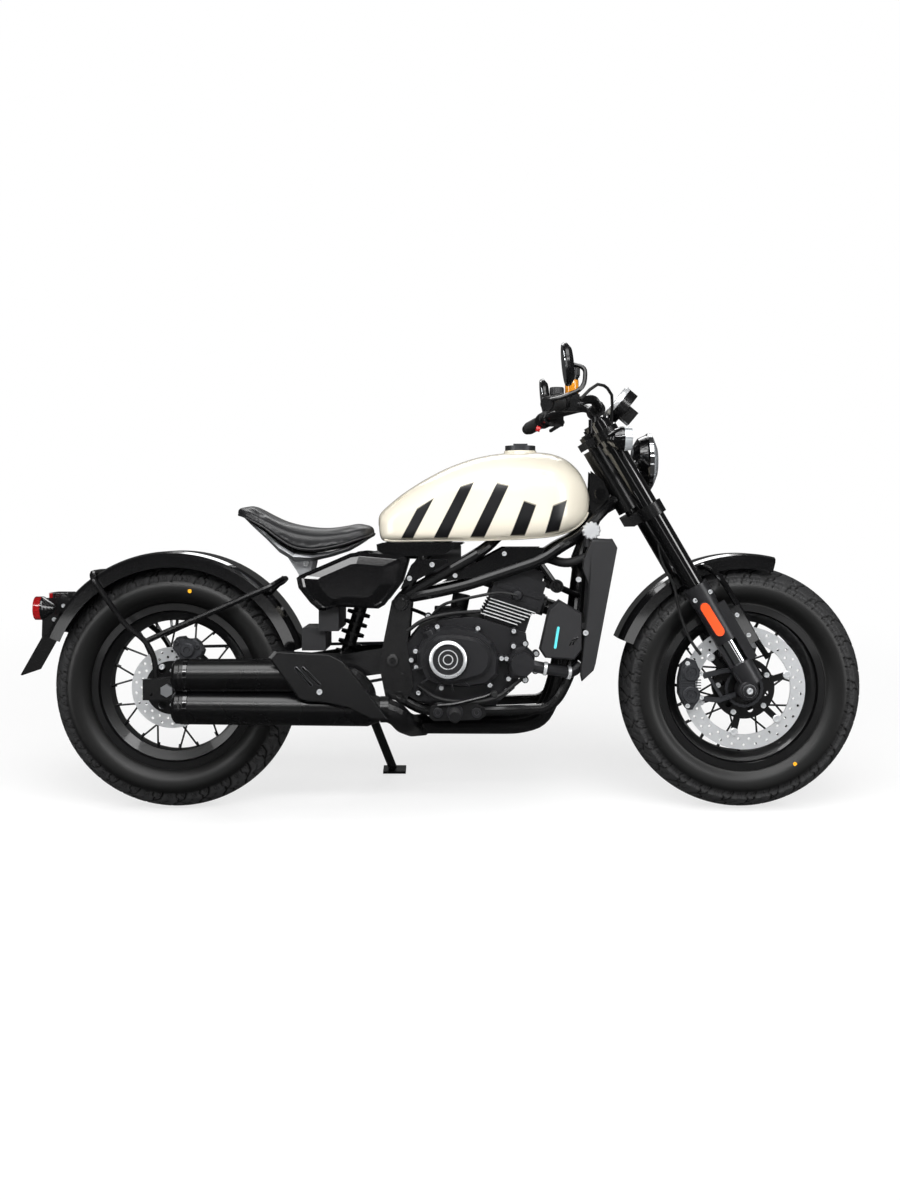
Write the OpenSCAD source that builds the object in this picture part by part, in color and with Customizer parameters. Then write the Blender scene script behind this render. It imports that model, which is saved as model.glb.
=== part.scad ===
// Bobber motorcycle with laced wheels, parked on its side stand.
// Every module is drawn on the upright machine: the origin is on the ground under the
// rear axle, +X is forward, +Y is the machine's left and +Z is up. place() then leans it.

/* [Stance] */
// Lean onto the side stand, in degrees
lean = 10; // [9:0.5:11]
// Distance between the wheel axles
wheelbase = 1485; // [1475:1:1500]
// Angle of the steering head from the vertical, in degrees
rake = 30.2; // [29.5:0.1:31]
// Distance from the steering axis forward to the front axle
axle_offset = 17; // [14:0.5:20]

/* [Wheels] */
// Height of the rear tyre over its bead seat
rear_h = 117; // [113:1:121]
// Width of the rear tyre
rear_w = 150; // [140:1:152]
// Height of the front tyre over its bead seat
front_h = 115; // [111:1:119]
// Width of the front tyre
front_w = 130; // [124:1:134]
// Crown radius of both treads
crown_r = 75; // [74:0.5:80]
// Bead seat radius of both rims
bead_r = 203; // [200:0.5:205]
// Inner width between the rim flanges
rim_w = 88; // [80:1:94]
// Height of the rim flanges over the bead seat
flange_h = 14; // [11:0.5:16]
// Depth of the rim well under the bead seat
well_d = 26; // [22:1:30]
// Thickness of the rim wall
rim_t = 5; // [4:0.5:7]
// Crossed spoke pairs in each wheel
spoke_pairs = 10; // [8:1:12]
// Thickness of a spoke
spoke_d = 5; // [4:0.5:6]
// Radius of the hub flanges where the spokes start
hub_r = 62; // [56:1:66]
// Radius of the hub barrel
barrel_r = 30; // [26:1:34]
// Radius of the wheel axles
axle_r = 10; // [9:0.5:12]
// Radius of the bore through the hollow front axle
axle_bore_r = 6; // [5:0.5:7]

/* [Brakes and chain] */
// Radius of the front brake disc
front_disc_r = 160; // [150:1:162]
// Radius of the rear brake disc
rear_disc_r = 105; // [100:1:110]
// Thickness of both discs
disc_t = 5; // [4:0.5:6]
// Distance of the front disc from the wheel's middle
front_disc_y = 66; // [65:0.5:67]
// Distance of the rear disc from the wheel's middle
rear_disc_y = 75; // [73:0.5:77]
// Pitch radius of the rear sprocket
sprocket_r = 88; // [80:1:92]
// Pitch radius of the engine sprocket
drive_r = 34; // [30:1:38]
// Distance of the chain from the machine's middle
chain_y = 88; // [87:0.5:89]
// Width of the chain
chain_w = 16; // [14:0.5:17]

/* [Front fork] */
// Distance of each fork leg from the machine's middle
leg_y = 105; // [104:0.5:108]
// Distance from the steering axis forward to the fork legs
leg_p = 36.5; // [35:0.5:38]
// Radius of the outer fork tubes
leg_r = 25; // [24:0.5:26]
// Radius of the inner fork tubes
inner_r = 20.5; // [19:0.5:21]
// Length of the fork from the axle to the top of its tubes
fork_top = 792; // [786:1:800]
// Height of the upper clamp along the fork
upper_clamp = 738; // [736:1:744]
// Height of the lower clamp along the fork
lower_clamp = 505; // [500:1:508]
// Thickness of the upper clamp
clamp_t = 26; // [22:1:28]
// Radius of the steering stem
stem_r = 13; // [12:0.5:15]
// Radius of the frame's head tube
head_r = 30; // [27:0.5:32]

/* [Frame] */
// Distance of the cradle tubes from the machine's middle
cradle_y = 110; // [106:1:112]
// Diameter of the main frame tubes
tube_d = 27; // [24:0.5:28]
// Height of the swingarm pivot
pivot_z = 395; // [390:1:400]
// Distance from the rear axle forward to the swingarm pivot
pivot_x = 574; // [568:1:580]
// Distance of the swingarm's outer faces from the machine's middle
arm_y = 122; // [120:0.5:124]
// Thickness of each swingarm arm
arm_t = 24; // [20:0.5:24]

/* [Engine] */
// Half width of the crankcase
case_y = 120; // [116:1:122]
// Height of the crankshaft
crank_z = 390; // [386:1:394]
// Distance from the rear axle forward to the crankshaft
crank_x = 822; // [818:1:826]
// Forward lean of the cylinders, in degrees
cylinder_lean = 18; // [16:0.5:20]
// Cooling fins on the cylinder block
fins = 6; // [5:1:7]
// Distance from fin to fin
fin_pitch = 8.7; // [8:0.1:9.2]
// Thickness of a fin
fin_t = 3.2; // [2.5:0.1:4]

/* [Bodywork] */
// Height of the fuel tank's top
tank_top = 934; // [926:1:942]
// Half width of the fuel tank
tank_y = 149; // [140:1:152]
// Radius of the fuel cap
cap_r = 42; // [38:0.5:44]
// Half width of the seat
seat_y = 138; // [130:1:145]
// Gap between the rear tyre and its fender
rear_fender_gap = 31; // [27:0.5:37]
// Gap between the front tyre and its fender
front_fender_gap = 29; // [25:0.5:31]
// Thickness of the fenders
fender_t = 3; // [2:0.5:4]

/* [Exhaust] */
// Radius of the silencers
muffler_r = 43; // [40:0.5:44]
// Distance of the silencers from the machine's middle
muffler_y = 190; // [186:1:196]
// Height of the upper silencer
muffler_z = 362; // [358:1:366]
// Diameter of the header pipes
header_d = 40; // [36:1:42]

/* [Controls and lights] */
// Distance of the bar ends from the machine's middle
bar_y = 410; // [400:1:420]
// Diameter of the handlebar
bar_d = 24; // [22:0.5:26]
// Radius of the mirrors
mirror_r = 52; // [48:1:56]
// Radius of the headlight
lamp_r = 75; // [70:1:80]
// Radius of the gauge
gauge_r = 46; // [42:1:50]
// Distance of the front indicators from the machine's middle
front_signal_y = 168; // [164:1:176]
// Distance of the rear indicators from the machine's middle
rear_signal_y = 130; // [124:1:140]

/* [Side stand] */
// Radius of the stand's pivot pin
stand_pin_r = 7; // [6:0.5:8]
// Diameter of the stand's leg
stand_d = 24; // [20:0.5:26]

/* [Fits] */
// Radial clearance of a shaft in its bearing
run_gap = 0.05; // [0.02:0.01:0.1]
// Clearance between pieces that are seated on each other
seat_gap = 0.3; // [0.2:0.05:0.5]

/* [Hidden] */
$fn = 64;

rear_r = bead_r + rear_h;
front_r = bead_r + front_h;
rear_fender_r = rear_r + rear_fender_gap + fender_t;
front_fender_r = front_r + front_fender_gap + fender_t;
// Middle of the steering head
head_at = steer_pt(0, 0, 600);
// Front of the cradle, under the head
cradle_x = head_at.x - 168.5;
front_fender_half = 74;
tail_x = -397;
nose_x = wheelbase + front_r;
mirror_at = head_at + [-168, 400, 293];
mid_x = (nose_x + tail_x) / 2;
mid_y = mirror_at.z * sin(lean);
lift = crown_r * (1 - cos(lean));
clamp_front = 30;
head_low = lower_clamp + clamp_t + 16;
head_high = upper_clamp - 4;
collar = front_fender_r - 50;
guard_top = collar - 53;
guard_low = 136;
casting_top = 71;
lower_z = muffler_z - 2 * muffler_r + 8;
low_can = 545;
engine_sprocket_x = 655;
engine_sprocket_z = 385;

black = "#1a1a1c";
charcoal = "#3a3b3e";
silver = "#b9bcc0";

// Stands the upright machine on its tyres and side stand, with the origin under its middle
module place() {
    translate([-mid_x, -mid_y, lift]) rotate([-lean, 0, 0]) children();
}

// Point of the front end: p forward from the steering axis, y to the left, h up along the fork
function steer_pt(p, y, h) = [
    wheelbase + (p - axle_offset) * cos(rake) - h * sin(rake),
    y,
    front_r + (p - axle_offset) * sin(rake) + h * cos(rake)
];

module in_steer() {
    translate([wheelbase, 0, front_r]) rotate([0, -rake, 0]) translate([-axle_offset, 0, 0])
        children();
}

module at_front() { translate([wheelbase, 0, front_r]) children(); }
module at_rear() { translate([0, 0, rear_r]) children(); }
module both_sides() {
    children();
    mirror([0, 1, 0]) children();
}

// Straight round bar from one point to another
module rod(from, to, d, fn = 32) {
    v = to - from;
    translate(from) rotate([0, acos(v.z / norm(v)), atan2(v.y, v.x)])
        cylinder(h = norm(v), d = d, $fn = fn);
}

// Round form about the axle direction, from rows of [radius, y]
module lathe(profile, fn = 96) {
    rotate([-90, 0, 0]) rotate_extrude($fn = fn) polygon(profile);
}

// Flat plate in the side view, from rows of [x, z]
module plate(outline, y, t) {
    translate([0, y + t, 0]) rotate([90, 0, 0]) linear_extrude(t) polygon(outline);
}

function unit(v) = v / norm(v);

// Path with each inner corner drawn as a bend that starts r before it
function bend(a, b, c, r) =
    let (u = unit(a - b), v = unit(c - b), m = min(r, 0.45 * norm(a - b), 0.45 * norm(c - b)),
        p = b + u * m, q = b + v * m)
    [for (t = [0 : 0.25 : 1]) (1 - t) * (1 - t) * p + 2 * t * (1 - t) * b + t * t * q];
function bent(path, r = 60) = concat(
    [path[0]],
    [for (i = [1 : len(path) - 2]) each bend(path[i - 1], path[i], path[i + 1], r)],
    [path[len(path) - 1]]);

function tangents(p) =
    [for (i = [0 : len(p) - 1]) unit(p[min(i + 1, len(p) - 1)] - p[max(i - 1, 0)])];
function normals(t) =
    let (first = unit(cross(t[0], abs(t[0].y) < 0.9 ? [0, 1, 0] : [1, 0, 0])))
    [for (i = 0, n = first; i < len(t); i = i + 1,
        n = i < len(t) ? unit(n - (n * t[i]) * t[i]) : n) n];

// Closed skin over rings that each have the same number of points
module skin(rings) {
    n = len(rings[0]);
    last = len(rings) - 1;
    sides = [for (i = [0 : last - 1], j = [0 : n - 1])
        [i * n + j, (i + 1) * n + j, (i + 1) * n + (j + 1) % n, i * n + (j + 1) % n]];
    first_cap = [for (j = [0 : n - 1]) j];
    last_cap = [for (j = [n - 1 : -1 : 0]) last * n + j];
    polyhedron([for (r = rings) each r], concat(sides, [first_cap, last_cap]), convexity = 6);
}

// Bent round tube along a path, drawn solid
module pipe(path, d, sides = 10) {
    t = tangents(path);
    n = normals(t);
    skin([for (i = [0 : len(path) - 1]) [for (k = [0 : sides - 1])
        path[i] + d / 2 * (cos(360 * k / sides) * n[i] + sin(360 * k / sides) * cross(t[i], n[i]))]]);
}

// Rounded cross-section at x, squarer below than above where low is under high
function bulge(a, e) = sign(a) * pow(abs(a), e);
function section(x, half, z0, z1, low = 0.5, high = 0.9, n = 20) =
    [for (k = [0 : n - 1])
        let (c = cos(360 * k / n), s = sin(360 * k / n), e = s < 0 ? low : high)
        [x, half * bulge(c, e), (z0 + z1) / 2 + (z1 - z0) / 2 * bulge(s, e)]];

function area(p) = [for (i = 0, a = 0; i <= len(p); a = i < len(p) ?
    a + cross(p[i], p[(i + 1) % len(p)]) : a, i = i + 1) a][len(p)];
function turned(p) = area(p) > 0 ? p : [for (i = [len(p) - 1 : -1 : 0]) p[i]];

// Domed cover on the right-hand side, from rows of [distance from the middle, size]
module panel(outline, about, steps) {
    skin([for (s = steps) [for (p = turned(outline))
        let (q = about + (p - about) * s[1]) [q.x, -s[0], q.y]]]);
}

// Wheels

module tyre(r, w) {
    edge = w / 2;
    side = [
        [bead_r + flange_h + 65, edge * 0.87],
        [bead_r + flange_h + 57, edge * 0.95],
        [bead_r + flange_h + 44, edge],
        [bead_r + flange_h + 23, edge * 0.95],
        [bead_r + flange_h + 6, edge * 0.78],
        [bead_r + flange_h + seat_gap, rim_w / 2 + rim_t + 1],
        [bead_r + flange_h + seat_gap, rim_w / 2 - seat_gap],
        [bead_r + seat_gap, rim_w / 2 - seat_gap]
    ];
    crown = [for (k = [-5 : 5]) [r - crown_r + crown_r * cos(k * lean), crown_r * sin(k * lean)]];
    profile = concat(crown, side, [for (i = [len(side) - 1 : -1 : 0]) [side[i].x, -side[i].y]]);
    color(black) lathe(profile);
}

module laced_wheel(first_pair, left_end, right_end) {
    half = rim_w / 2;
    rim = [
        [bead_r + flange_h, half], [bead_r + flange_h, half + rim_t],
        [bead_r - 4, half + rim_t], [bead_r - 8, half - 6], [bead_r - well_d - rim_t, half - 18]
    ];
    bed = [[bead_r - well_d, 16 - half], [bead_r, 10 - half], [bead_r, -half]];
    spoke_y = 32;
    color(black) {
        lathe(concat(rim, [for (i = [len(rim) - 1 : -1 : 0]) [rim[i].x, -rim[i].y]],
            [for (p = [bed[2], bed[1], bed[0]]) p], [for (p = bed) [p.x, -p.y]]));
        difference() {
            lathe([[0, -right_end], [barrel_r + 14, -right_end], [barrel_r + 14, 12 - right_end],
                [barrel_r, 18 - right_end], [barrel_r, -spoke_y - 6], [hub_r + 4, -spoke_y - 3],
                [hub_r + 4, 3 - spoke_y], [barrel_r, 8 - spoke_y], [barrel_r, spoke_y - 8],
                [hub_r + 4, spoke_y - 3], [hub_r + 4, spoke_y + 3], [barrel_r, spoke_y + 6],
                [barrel_r, left_end - 18], [barrel_r + 14, left_end - 12],
                [barrel_r + 14, left_end], [0, left_end]], 64);
            rotate([90, 0, 0]) cylinder(r = axle_r + run_gap, h = 400, center = true);
        }
        for (k = [0 : spoke_pairs - 1], s = [-1, 1]) {
            mid = first_pair + 360 * k / spoke_pairs;
            outer = mid + s * 90 / spoke_pairs;
            inner = mid - s * 24;
            rim_at = bead_r - well_d - rim_t;
            rod([hub_r * cos(inner), -s * spoke_y, hub_r * sin(inner)],
                [(rim_at + 2) * cos(outer), -s * 8, (rim_at + 2) * sin(outer)], spoke_d, 16);
            rod([(rim_at - 12) * cos(outer - s * 0.6), -s * 9.5, (rim_at - 12) * sin(outer - s * 0.6)],
                [(rim_at + 2) * cos(outer), -s * 8, (rim_at + 2) * sin(outer)], spoke_d + 3, 16);
        }
    }
}

module drilled_disc(r, inner, y, holes) {
    difference() {
        lathe([[inner, y - disc_t / 2], [r, y - disc_t / 2], [r, y + disc_t / 2],
            [inner, y + disc_t / 2]]);
        for (k = [0 : holes - 1], ring = [0, 1]) {
            at = inner + (r - inner) * (ring == 0 ? 0.3 : 0.7);
            rotate([0, (k + ring * 0.5) * 360 / holes, 0]) translate([at, y, 0])
                rotate([90, 0, 0]) cylinder(d = 7, h = disc_t + 2, center = true, $fn = 16);
        }
    }
}

module front_tyre() { at_front() tyre(front_r, front_w); }
module rear_tyre() { at_rear() tyre(rear_r, rear_w); }
module front_wheel() { at_front() laced_wheel(45, 60, front_disc_y - 3 - seat_gap); }
module rear_wheel() {
    at_rear() laced_wheel(28, chain_y - 10, rear_disc_y - 2 - seat_gap);
    color(charcoal) at_rear() difference() {
        lathe([[barrel_r + 5, chain_y - 12], [sprocket_r - 8, chain_y - 3], [sprocket_r, chain_y - 3],
            [sprocket_r, chain_y + 3], [sprocket_r - 14, chain_y + 3], [barrel_r + 5, chain_y - 5]]);
        for (a = [0 : 60 : 300]) rotate([0, a, 0]) translate([58, chain_y, 0])
            rotate([90, 0, 0]) cylinder(d = 22, h = 40, center = true, $fn = 24);
    }
}

module front_disc() {
    color(silver) at_front() {
        drilled_disc(front_disc_r, 121, -front_disc_y, 30);
        // Carrier with an arm to each of six fixing studs
        difference() {
            lathe([[38, -front_disc_y - 3], [80, -front_disc_y - 3], [80, -front_disc_y + 3],
                [38, -front_disc_y + 3]]);
            for (a = [47 : 60 : 347]) rotate([0, -a, 0]) translate([58, -front_disc_y, 0])
                rotate([90, 0, 0]) cylinder(d = 16, h = 10, center = true, $fn = 24);
        }
        for (a = [17 : 60 : 317]) rotate([0, -a, 0])
            translate([70, -front_disc_y - 4, -8]) cube([56, 8, 16]);
    }
}

module rear_disc() {
    color(silver) at_rear() {
        drilled_disc(rear_disc_r, 69, -rear_disc_y, 22);
        difference() {
            lathe([[34, -rear_disc_y - 2], [71, -rear_disc_y - 2], [71, -rear_disc_y + 2],
                [34, -rear_disc_y + 2]]);
            for (a = [0 : 60 : 300]) rotate([0, a, 0]) translate([53, -rear_disc_y, 0])
                rotate([90, 0, 0]) cylinder(d = 20, h = 10, center = true, $fn = 24);
        }
    }
}

// Frame and swingarm

stand_pivot = [500, 140, 235];
pad_t = 6;
foot_y = 262;
stand_foot = [560, foot_y, (pad_t - lift + foot_y * sin(lean)) / cos(lean)];
stand_folded = [-225, 20, -12];
stand_axis = unit(cross(stand_foot - stand_pivot, stand_folded));

module frame() {
    color(black) difference() {
        union() {
            in_steer() translate([0, 0, head_low]) cylinder(r = head_r, h = head_high - head_low);
            pipe(bent([steer_pt(-24, 0, 592), head_at + [-93, 0, -63], [950, 0, 745],
                [760, 0, 728]]), 50, 14);
            both_sides() {
                pipe(bent([[770, 12, 728], [705, 62, 706], [645, 92, 655], [600, 100, 552]]), tube_d);
                pipe(bent([[600, 100, 552], [690, 116, 569], [769, 126, 588], [956, 130, 651],
                    head_at + [-156, 124, -138],
                    head_at + [-112, 98, -116], head_at + [-84, 74, -88], head_at + [-56, 52, -58],
                    steer_pt(-22, 22, 590)], 30), tube_d);
                pipe(bent([[606, 104, 560], [810, 104, 676], [862, 20, 724]], 40), tube_d - 2);
                pipe(bent([head_at + [-62, 52, -60], head_at + [-98, 54, -138],
                    [cradle_x + 34, cradle_y - 2, 365], [cradle_x, cradle_y, 297],
                    [cradle_x - 32, cradle_y, 269], [840, cradle_y, 264],
                    [650, cradle_y, 264], [588, cradle_y - 8, 300]], 50), tube_d);
                pipe(bent([[655, 86, 664], [540, 60, 668], [461, 55, 645], [373, 55, 618],
                    [330, 55, 600]], 40), 22, 8);
                // Rubber seats of the tank, radiator and engine
                rod([645, 92, 655], [645, 92, 697 - seat_gap], tube_d, 24);
                rod([760, cradle_y - 6, 270], [760, cradle_y - 6, 290 - seat_gap], 24, 24);
                pipe([[cradle_x - 6, 122, 585], [cradle_x - 50, 128, 646]], 16, 8);
                pipe([[cradle_x - 6, 122, 585], [cradle_x + 58, 80, 556]], 16, 8);
                rod([cradle_x - 6, 108, 585], [cradle_x - 6, 136, 585], 34);
            }
            rod([950, 0, 745], [950, 0, 804 - seat_gap], 30, 32);
            rod([596, -134, 542], [596, 134, 542], 44, 48);
            rod([592, -124, 306], [592, 124, 306], 24, 24);
            rod([335, -55, 602], [335, 55, 602], 22, 24);
            // Plates that carry the swingarm pivot
            for (s = [-1, 1]) plate([[556, 300], [606, 286], [628, 330], [612, 430], [622, 545],
                [596, 566], [572, 548], [548, 430], [540, 380]], s * (arm_y + seat_gap + 4) - 4, 8);
            // Gusset with a ring on each side of the head
            for (s = [-1, 1]) translate(head_at) {
                plate([[-78, 56], [-44, 30], [-22, -28], [-72, -66], [-82, -28]], s * 31 - 3, 6);
                rod([-55, s * 30, -4], [-55, s * 42, -4], 46, 32);
            }
            // Tab and pin of the side stand
            translate(stand_pivot) stand_turned() translate([0, 0, -22]) cylinder(r = 19, h = 14, $fn = 32);
            translate(stand_pivot) stand_turned() translate([0, 0, -22])
                cylinder(r = stand_pin_r, h = 44, $fn = 32);
            translate(stand_pivot) stand_turned() translate([0, 0, 12 + seat_gap])
                cylinder(r = stand_pin_r + 4, h = 8, $fn = 32);
            pipe([stand_pivot - 22 * stand_axis, [590, 100, 300]], 18, 8);
        }
        in_steer() translate([0, 0, head_low - 1])
            cylinder(r = stem_r + run_gap, h = head_high - head_low + 2);
    }
}

module stand_turned() {
    rotate([0, acos(stand_axis.z), atan2(stand_axis.y, stand_axis.x)]) children();
}

module side_stand() {
    reach = stand_foot - stand_pivot;
    color(black) {
        difference() {
            union() {
                translate(stand_pivot) stand_turned() translate([0, 0, -8 + seat_gap])
                    cylinder(r = 18, h = 20 - seat_gap, $fn = 32);
                rod(stand_pivot + 0.03 * reach, stand_foot - 0.02 * reach, stand_d, 24);
            }
            translate(stand_pivot) stand_turned() translate([0, 0, -40])
                cylinder(r = stand_pin_r + run_gap, h = 80, $fn = 32);
            translate(stand_pivot) stand_turned() translate([0, 0, -40])
                cylinder(r = 20, h = 32 + seat_gap, $fn = 32);
            translate(stand_pivot) stand_turned() translate([0, 0, 12])
                cylinder(r = 20, h = 32, $fn = 32);
        }
        // Foot pad, level with the ground when the machine leans on it
        translate(stand_foot) rotate([lean, 0, 0]) translate([-28, -24, -pad_t]) cube([64, 52, pad_t + 1]);
    }
}

module swingarm() {
    arm = [[pivot_x + 26, pivot_z + 29], [pivot_x - 14, pivot_z + 31], [330, pivot_z - 3],
        [20, rear_r + 34], [-34, rear_r + 30], [-46, rear_r + 10], [-40, rear_r - 24],
        [20, rear_r - 32], [330, pivot_z - 65], [pivot_x - 14, pivot_z - 33],
        [pivot_x + 26, pivot_z - 27]];
    color(black) {
        difference() {
            union() {
                for (s = [-1, 1]) plate(arm, s * (arm_y - arm_t / 2) - arm_t / 2, arm_t);
                rod([pivot_x, 10 - arm_y, pivot_z], [pivot_x, arm_y - 10, pivot_z], 44, 48);
                translate([392, 0, 346]) cube([44, arm_y - 4, 20]);
                translate([392, -arm_y + 4, 340]) cube([44, arm_y + 50, 58]);
                for (s = [-1, 1]) translate([-64, s * arm_y - (s > 0 ? 0 : 14), rear_r - 26])
                    cube([84, 14, 54]);
            }
            rotate([90, 0, 0]) translate([0, rear_r, 0])
                cylinder(r = axle_r + seat_gap, h = 400, center = true);
            // Threaded holes for paddock-stand bobbins
            for (s = [-1, 1]) translate([-42, s * (arm_y + 15), rear_r - 12])
                rotate([90, 0, 0]) cylinder(r = 4, h = 42, center = true, $fn = 32);
        }
        // Shock absorber with its spring, in front of the wheel
        rod([440, 0, 380], [520, 0, 640], 34, 24);
        for (k = [0 : 7]) let (a = [446, 0, 400] + k * [8, 0, 26])
            rod(a, a + [2.4, 0, 7.8], 62, 24);
        translate([414, -26, 372]) cube([44, 52, 26]);
    }
}

module rear_axle() {
    color(silver) {
        rod([0, -arm_y - 24, rear_r], [0, arm_y + 24, rear_r], 2 * axle_r, 48);
        rod([0, -arm_y - 30, rear_r], [0, -arm_y - 14 - seat_gap, rear_r], 34, 6);
        rod([0, arm_y + 14 + seat_gap, rear_r], [0, arm_y + 30, rear_r], 34, 6);
        rod([0, chain_y - 10 + seat_gap, rear_r], [0, arm_y - arm_t - seat_gap, rear_r], 36, 32);
        rod([0, -(arm_y - arm_t - seat_gap), rear_r], [0, -(rear_disc_y + 3), rear_r], 36, 32);
    }
}

module chain() {
    gap = engine_sprocket_x;
    rise = engine_sprocket_z - rear_r;
    tilt = atan2(rise, gap);
    spread = asin((sprocket_r - drive_r) / norm([gap, rise]));
    function loop(grow) = concat(
        [for (a = [90 + spread : 10 : 270 - spread]) (sprocket_r + grow) * [cos(a + tilt), sin(a + tilt)]
            + [0, rear_r]],
        [for (a = [-90 - spread : 15 : 90 + spread]) (drive_r + grow) * [cos(a + tilt), sin(a + tilt)]
            + [gap, engine_sprocket_z]]);
    color(charcoal) {
        difference() {
            plate(loop(9), chain_y - chain_w / 2, chain_w);
            plate(loop(2), chain_y - chain_w, 2 * chain_w);
        }
        rod([gap, chain_y - 4, engine_sprocket_z], [gap, chain_y + 4, engine_sprocket_z],
            2 * drive_r + 4, 48);
        rod([gap, chain_y - 18 + seat_gap, engine_sprocket_z], [gap, chain_y, engine_sprocket_z],
            30, 32);
    }
}

// Engine

deck = 100;
function cyl_pt(x, z) = [crank_x + x * cos(cylinder_lean) + z * sin(cylinder_lean),
    crank_z - x * sin(cylinder_lean) + z * cos(cylinder_lean)];
module in_cylinders() { translate([crank_x, 0, crank_z]) rotate([0, cylinder_lean, 0]) children(); }

module engine_case() {
    color(black) {
        difference() {
            plate([[612, 304], [600, 350], [604, 430], [640, 474], [700, 498], [770, 506],
                cyl_pt(-60, deck), cyl_pt(66, deck), [920, 430], [910, 380], [886, 322],
                [850, 292], [640, 290]], -case_y, 2 * case_y);
            // Chamber of the engine sprocket, open to the rear
            rod([engine_sprocket_x, chain_y - 18, engine_sprocket_z],
                [engine_sprocket_x, case_y + 1, engine_sprocket_z], 2 * drive_r + 34, 64);
            translate([580, chain_y - 18, engine_sprocket_z - 62])
                cube([engine_sprocket_x - 580, case_y, 120]);
        }
        plate([[640, 292], [850, 292], [830, 250], [680, 246]], -70, 140);
        translate([680, -46, 500]) cube([70, 92, 26]);
        rod([740, 0, 500], [752, 0, 560], 46, 32);
    }
}

module engine_covers() {
    clutch = [[636, 420], [655, 458], [690, 480], [740, 487], [790, 476], [830, 444], [849, 402],
        [846, 360], [820, 336], [770, 328], [700, 330], [655, 345], [638, 380]];
    pump = [[872, 352], [868, 400], [884, 430], [912, 436], [938, 412], [936, 372], [912, 350]];
    start = case_y + seat_gap;
    color(charcoal) {
        panel(clutch, [735, 405], [[start, 1], [start + 34, 0.98], [start + 46, 0.9]]);
        translate([716, 0, 403]) lathe([[0, -start - 30], [58, -start - 40], [58, -start - 56],
            [46, -start - 76], [40, -start - 80], [36, -start - 76], [0, -start - 76]]);
        panel(pump, [905, 392], [[start, 1], [start + 30, 0.96], [start + 38, 0.8]]);
        rod([905, -start - 30, 390], [905, -start - 62, 390], 58, 32);
        pipe(bent([[890, -start - 48, 394], [960, -start - 46, 378], [1030, -start - 30, 366],
            [1052, -start - 20, 385]], 30), 30, 10);
        mirror([0, 1, 0]) {
            panel([[738, 330], [730, 400], [760, 456], [822, 478], [884, 452], [904, 398],
                [888, 338], [822, 308]], [822, 392], [[start, 1], [start + 30, 0.97], [start + 42, 0.86]]);
            translate([crank_x, 0, crank_z]) lathe([[0, -start - 30], [60, -start - 38],
                [52, -start - 50], [0, -start - 52]]);
            panel([[634, 350], [632, 420], [650, 452], [706, 440], [716, 380], [700, 330],
                [650, 318]], [670, 385], [[start, 1], [start + 8, 0.95]]);
        }
    }
}

module cylinder_block() {
    color(silver) in_cylinders() {
        translate([-46, -95, deck + seat_gap]) cube([112, 190, 58 - seat_gap]);
        for (k = [0 : fins - 1]) translate([-56 + (fins - 1 - k) * 1.5, -112, 158 - fin_t - k * fin_pitch])
            cube([130 - (fins - 1 - k) * 1.5 - k * 7, 224, fin_t]);
    }
}

module cylinder_head() {
    color(black) in_cylinders() {
        translate([-52, -114, 158 + seat_gap]) cube([136, 228, 50]);
        translate([-46, -110, 208]) cube([124, 220, 30]);
        translate([-40, -104, 238]) cube([106, 208, 24]);
        for (s = [-1, 1]) translate([74, s * 45, 178]) rotate([0, 90, 0]) cylinder(d = 52, h = 22);
    }
}

module airbox() {
    color(black) {
        translate([655, -55, 600]) cube([95, 110, 88]);
        for (s = [-1, 1]) in_cylinders() translate([-52 - seat_gap, s * 42, 205])
            rotate([0, -90, 0]) cylinder(d = 52, h = 98, $fn = 48);
        inner = arm_y + 8 + seat_gap;
        translate([385, -inner, 470]) cube([51, 2 * inner, 90]);
        for (s = [-1, 1]) rod([410, s * 55, 555], [410, s * 55, 616.3], 10);
        translate([340, -112, 419]) cube([61, 186, 57]);
    }
}

module radiator() {
    color(black) translate([cradle_x, 0, 0]) {
        plate([[53, 392], [90, 392], [132, 690], [94, 690]], -164, 328);
        translate([94, -150, 688]) cube([36, 300, 18]);
        rod([79, -136, 686], [79, -136, 732], 32, 32);
        rod([79, -136, 722], [79, -136, 736], 50, 12);
    }
}

module radiator_shrouds() {
    shroud = [[78, 704], [130, 707], [143, 684], [88, 392], [83, 375], [53, 347],
        [50, 362], [73, 567], [71, 592], [55, 632], [58, 657], [68, 682]];
    bottle = [[-30, 528], [-3, 553], [53, 520], [53, 427], [35, 402], [-40, 407], [-53, 427]];
    color(charcoal) translate([cradle_x, 0, 0]) {
        both_sides() panel(shroud, [85, 560], [[164 + seat_gap, 1], [182, 1], [188, 0.97]]);
        panel(bottle, [2, 470], [[140, 1], [186, 1], [194, 0.94]]);
        translate([40, -182, 480]) cube([32, 10, 14]);
    }
}

module headers() {
    color(black) {
        port = cyl_pt(96 + seat_gap, 178);
        away = cyl_pt(140, 178);
        for (s = [-1, 1]) pipe(bent([[port.x, s * 45, port.y], [away.x, s * 45, away.y],
            [1018, s * 48, 400], [994, s * 50, 300], [960, s * 50, 232], [900, s * 46, 215],
            [800, s * 34 - 4, 214], [640, s * 22 - 10, 214]], 50), header_d, 12);
        pipe(bent([[650, -8, 214], [622, -40, 216], [604, -150, 240], [586, 4 - muffler_y, 266],
            [low_can + 12, -muffler_y, lower_z - 6]], 40), 58, 14);
        rod([low_can + 1, -muffler_y, lower_z - 6], [low_can + 22, -muffler_y, lower_z - 6], 66, 48);
    }
}

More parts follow.
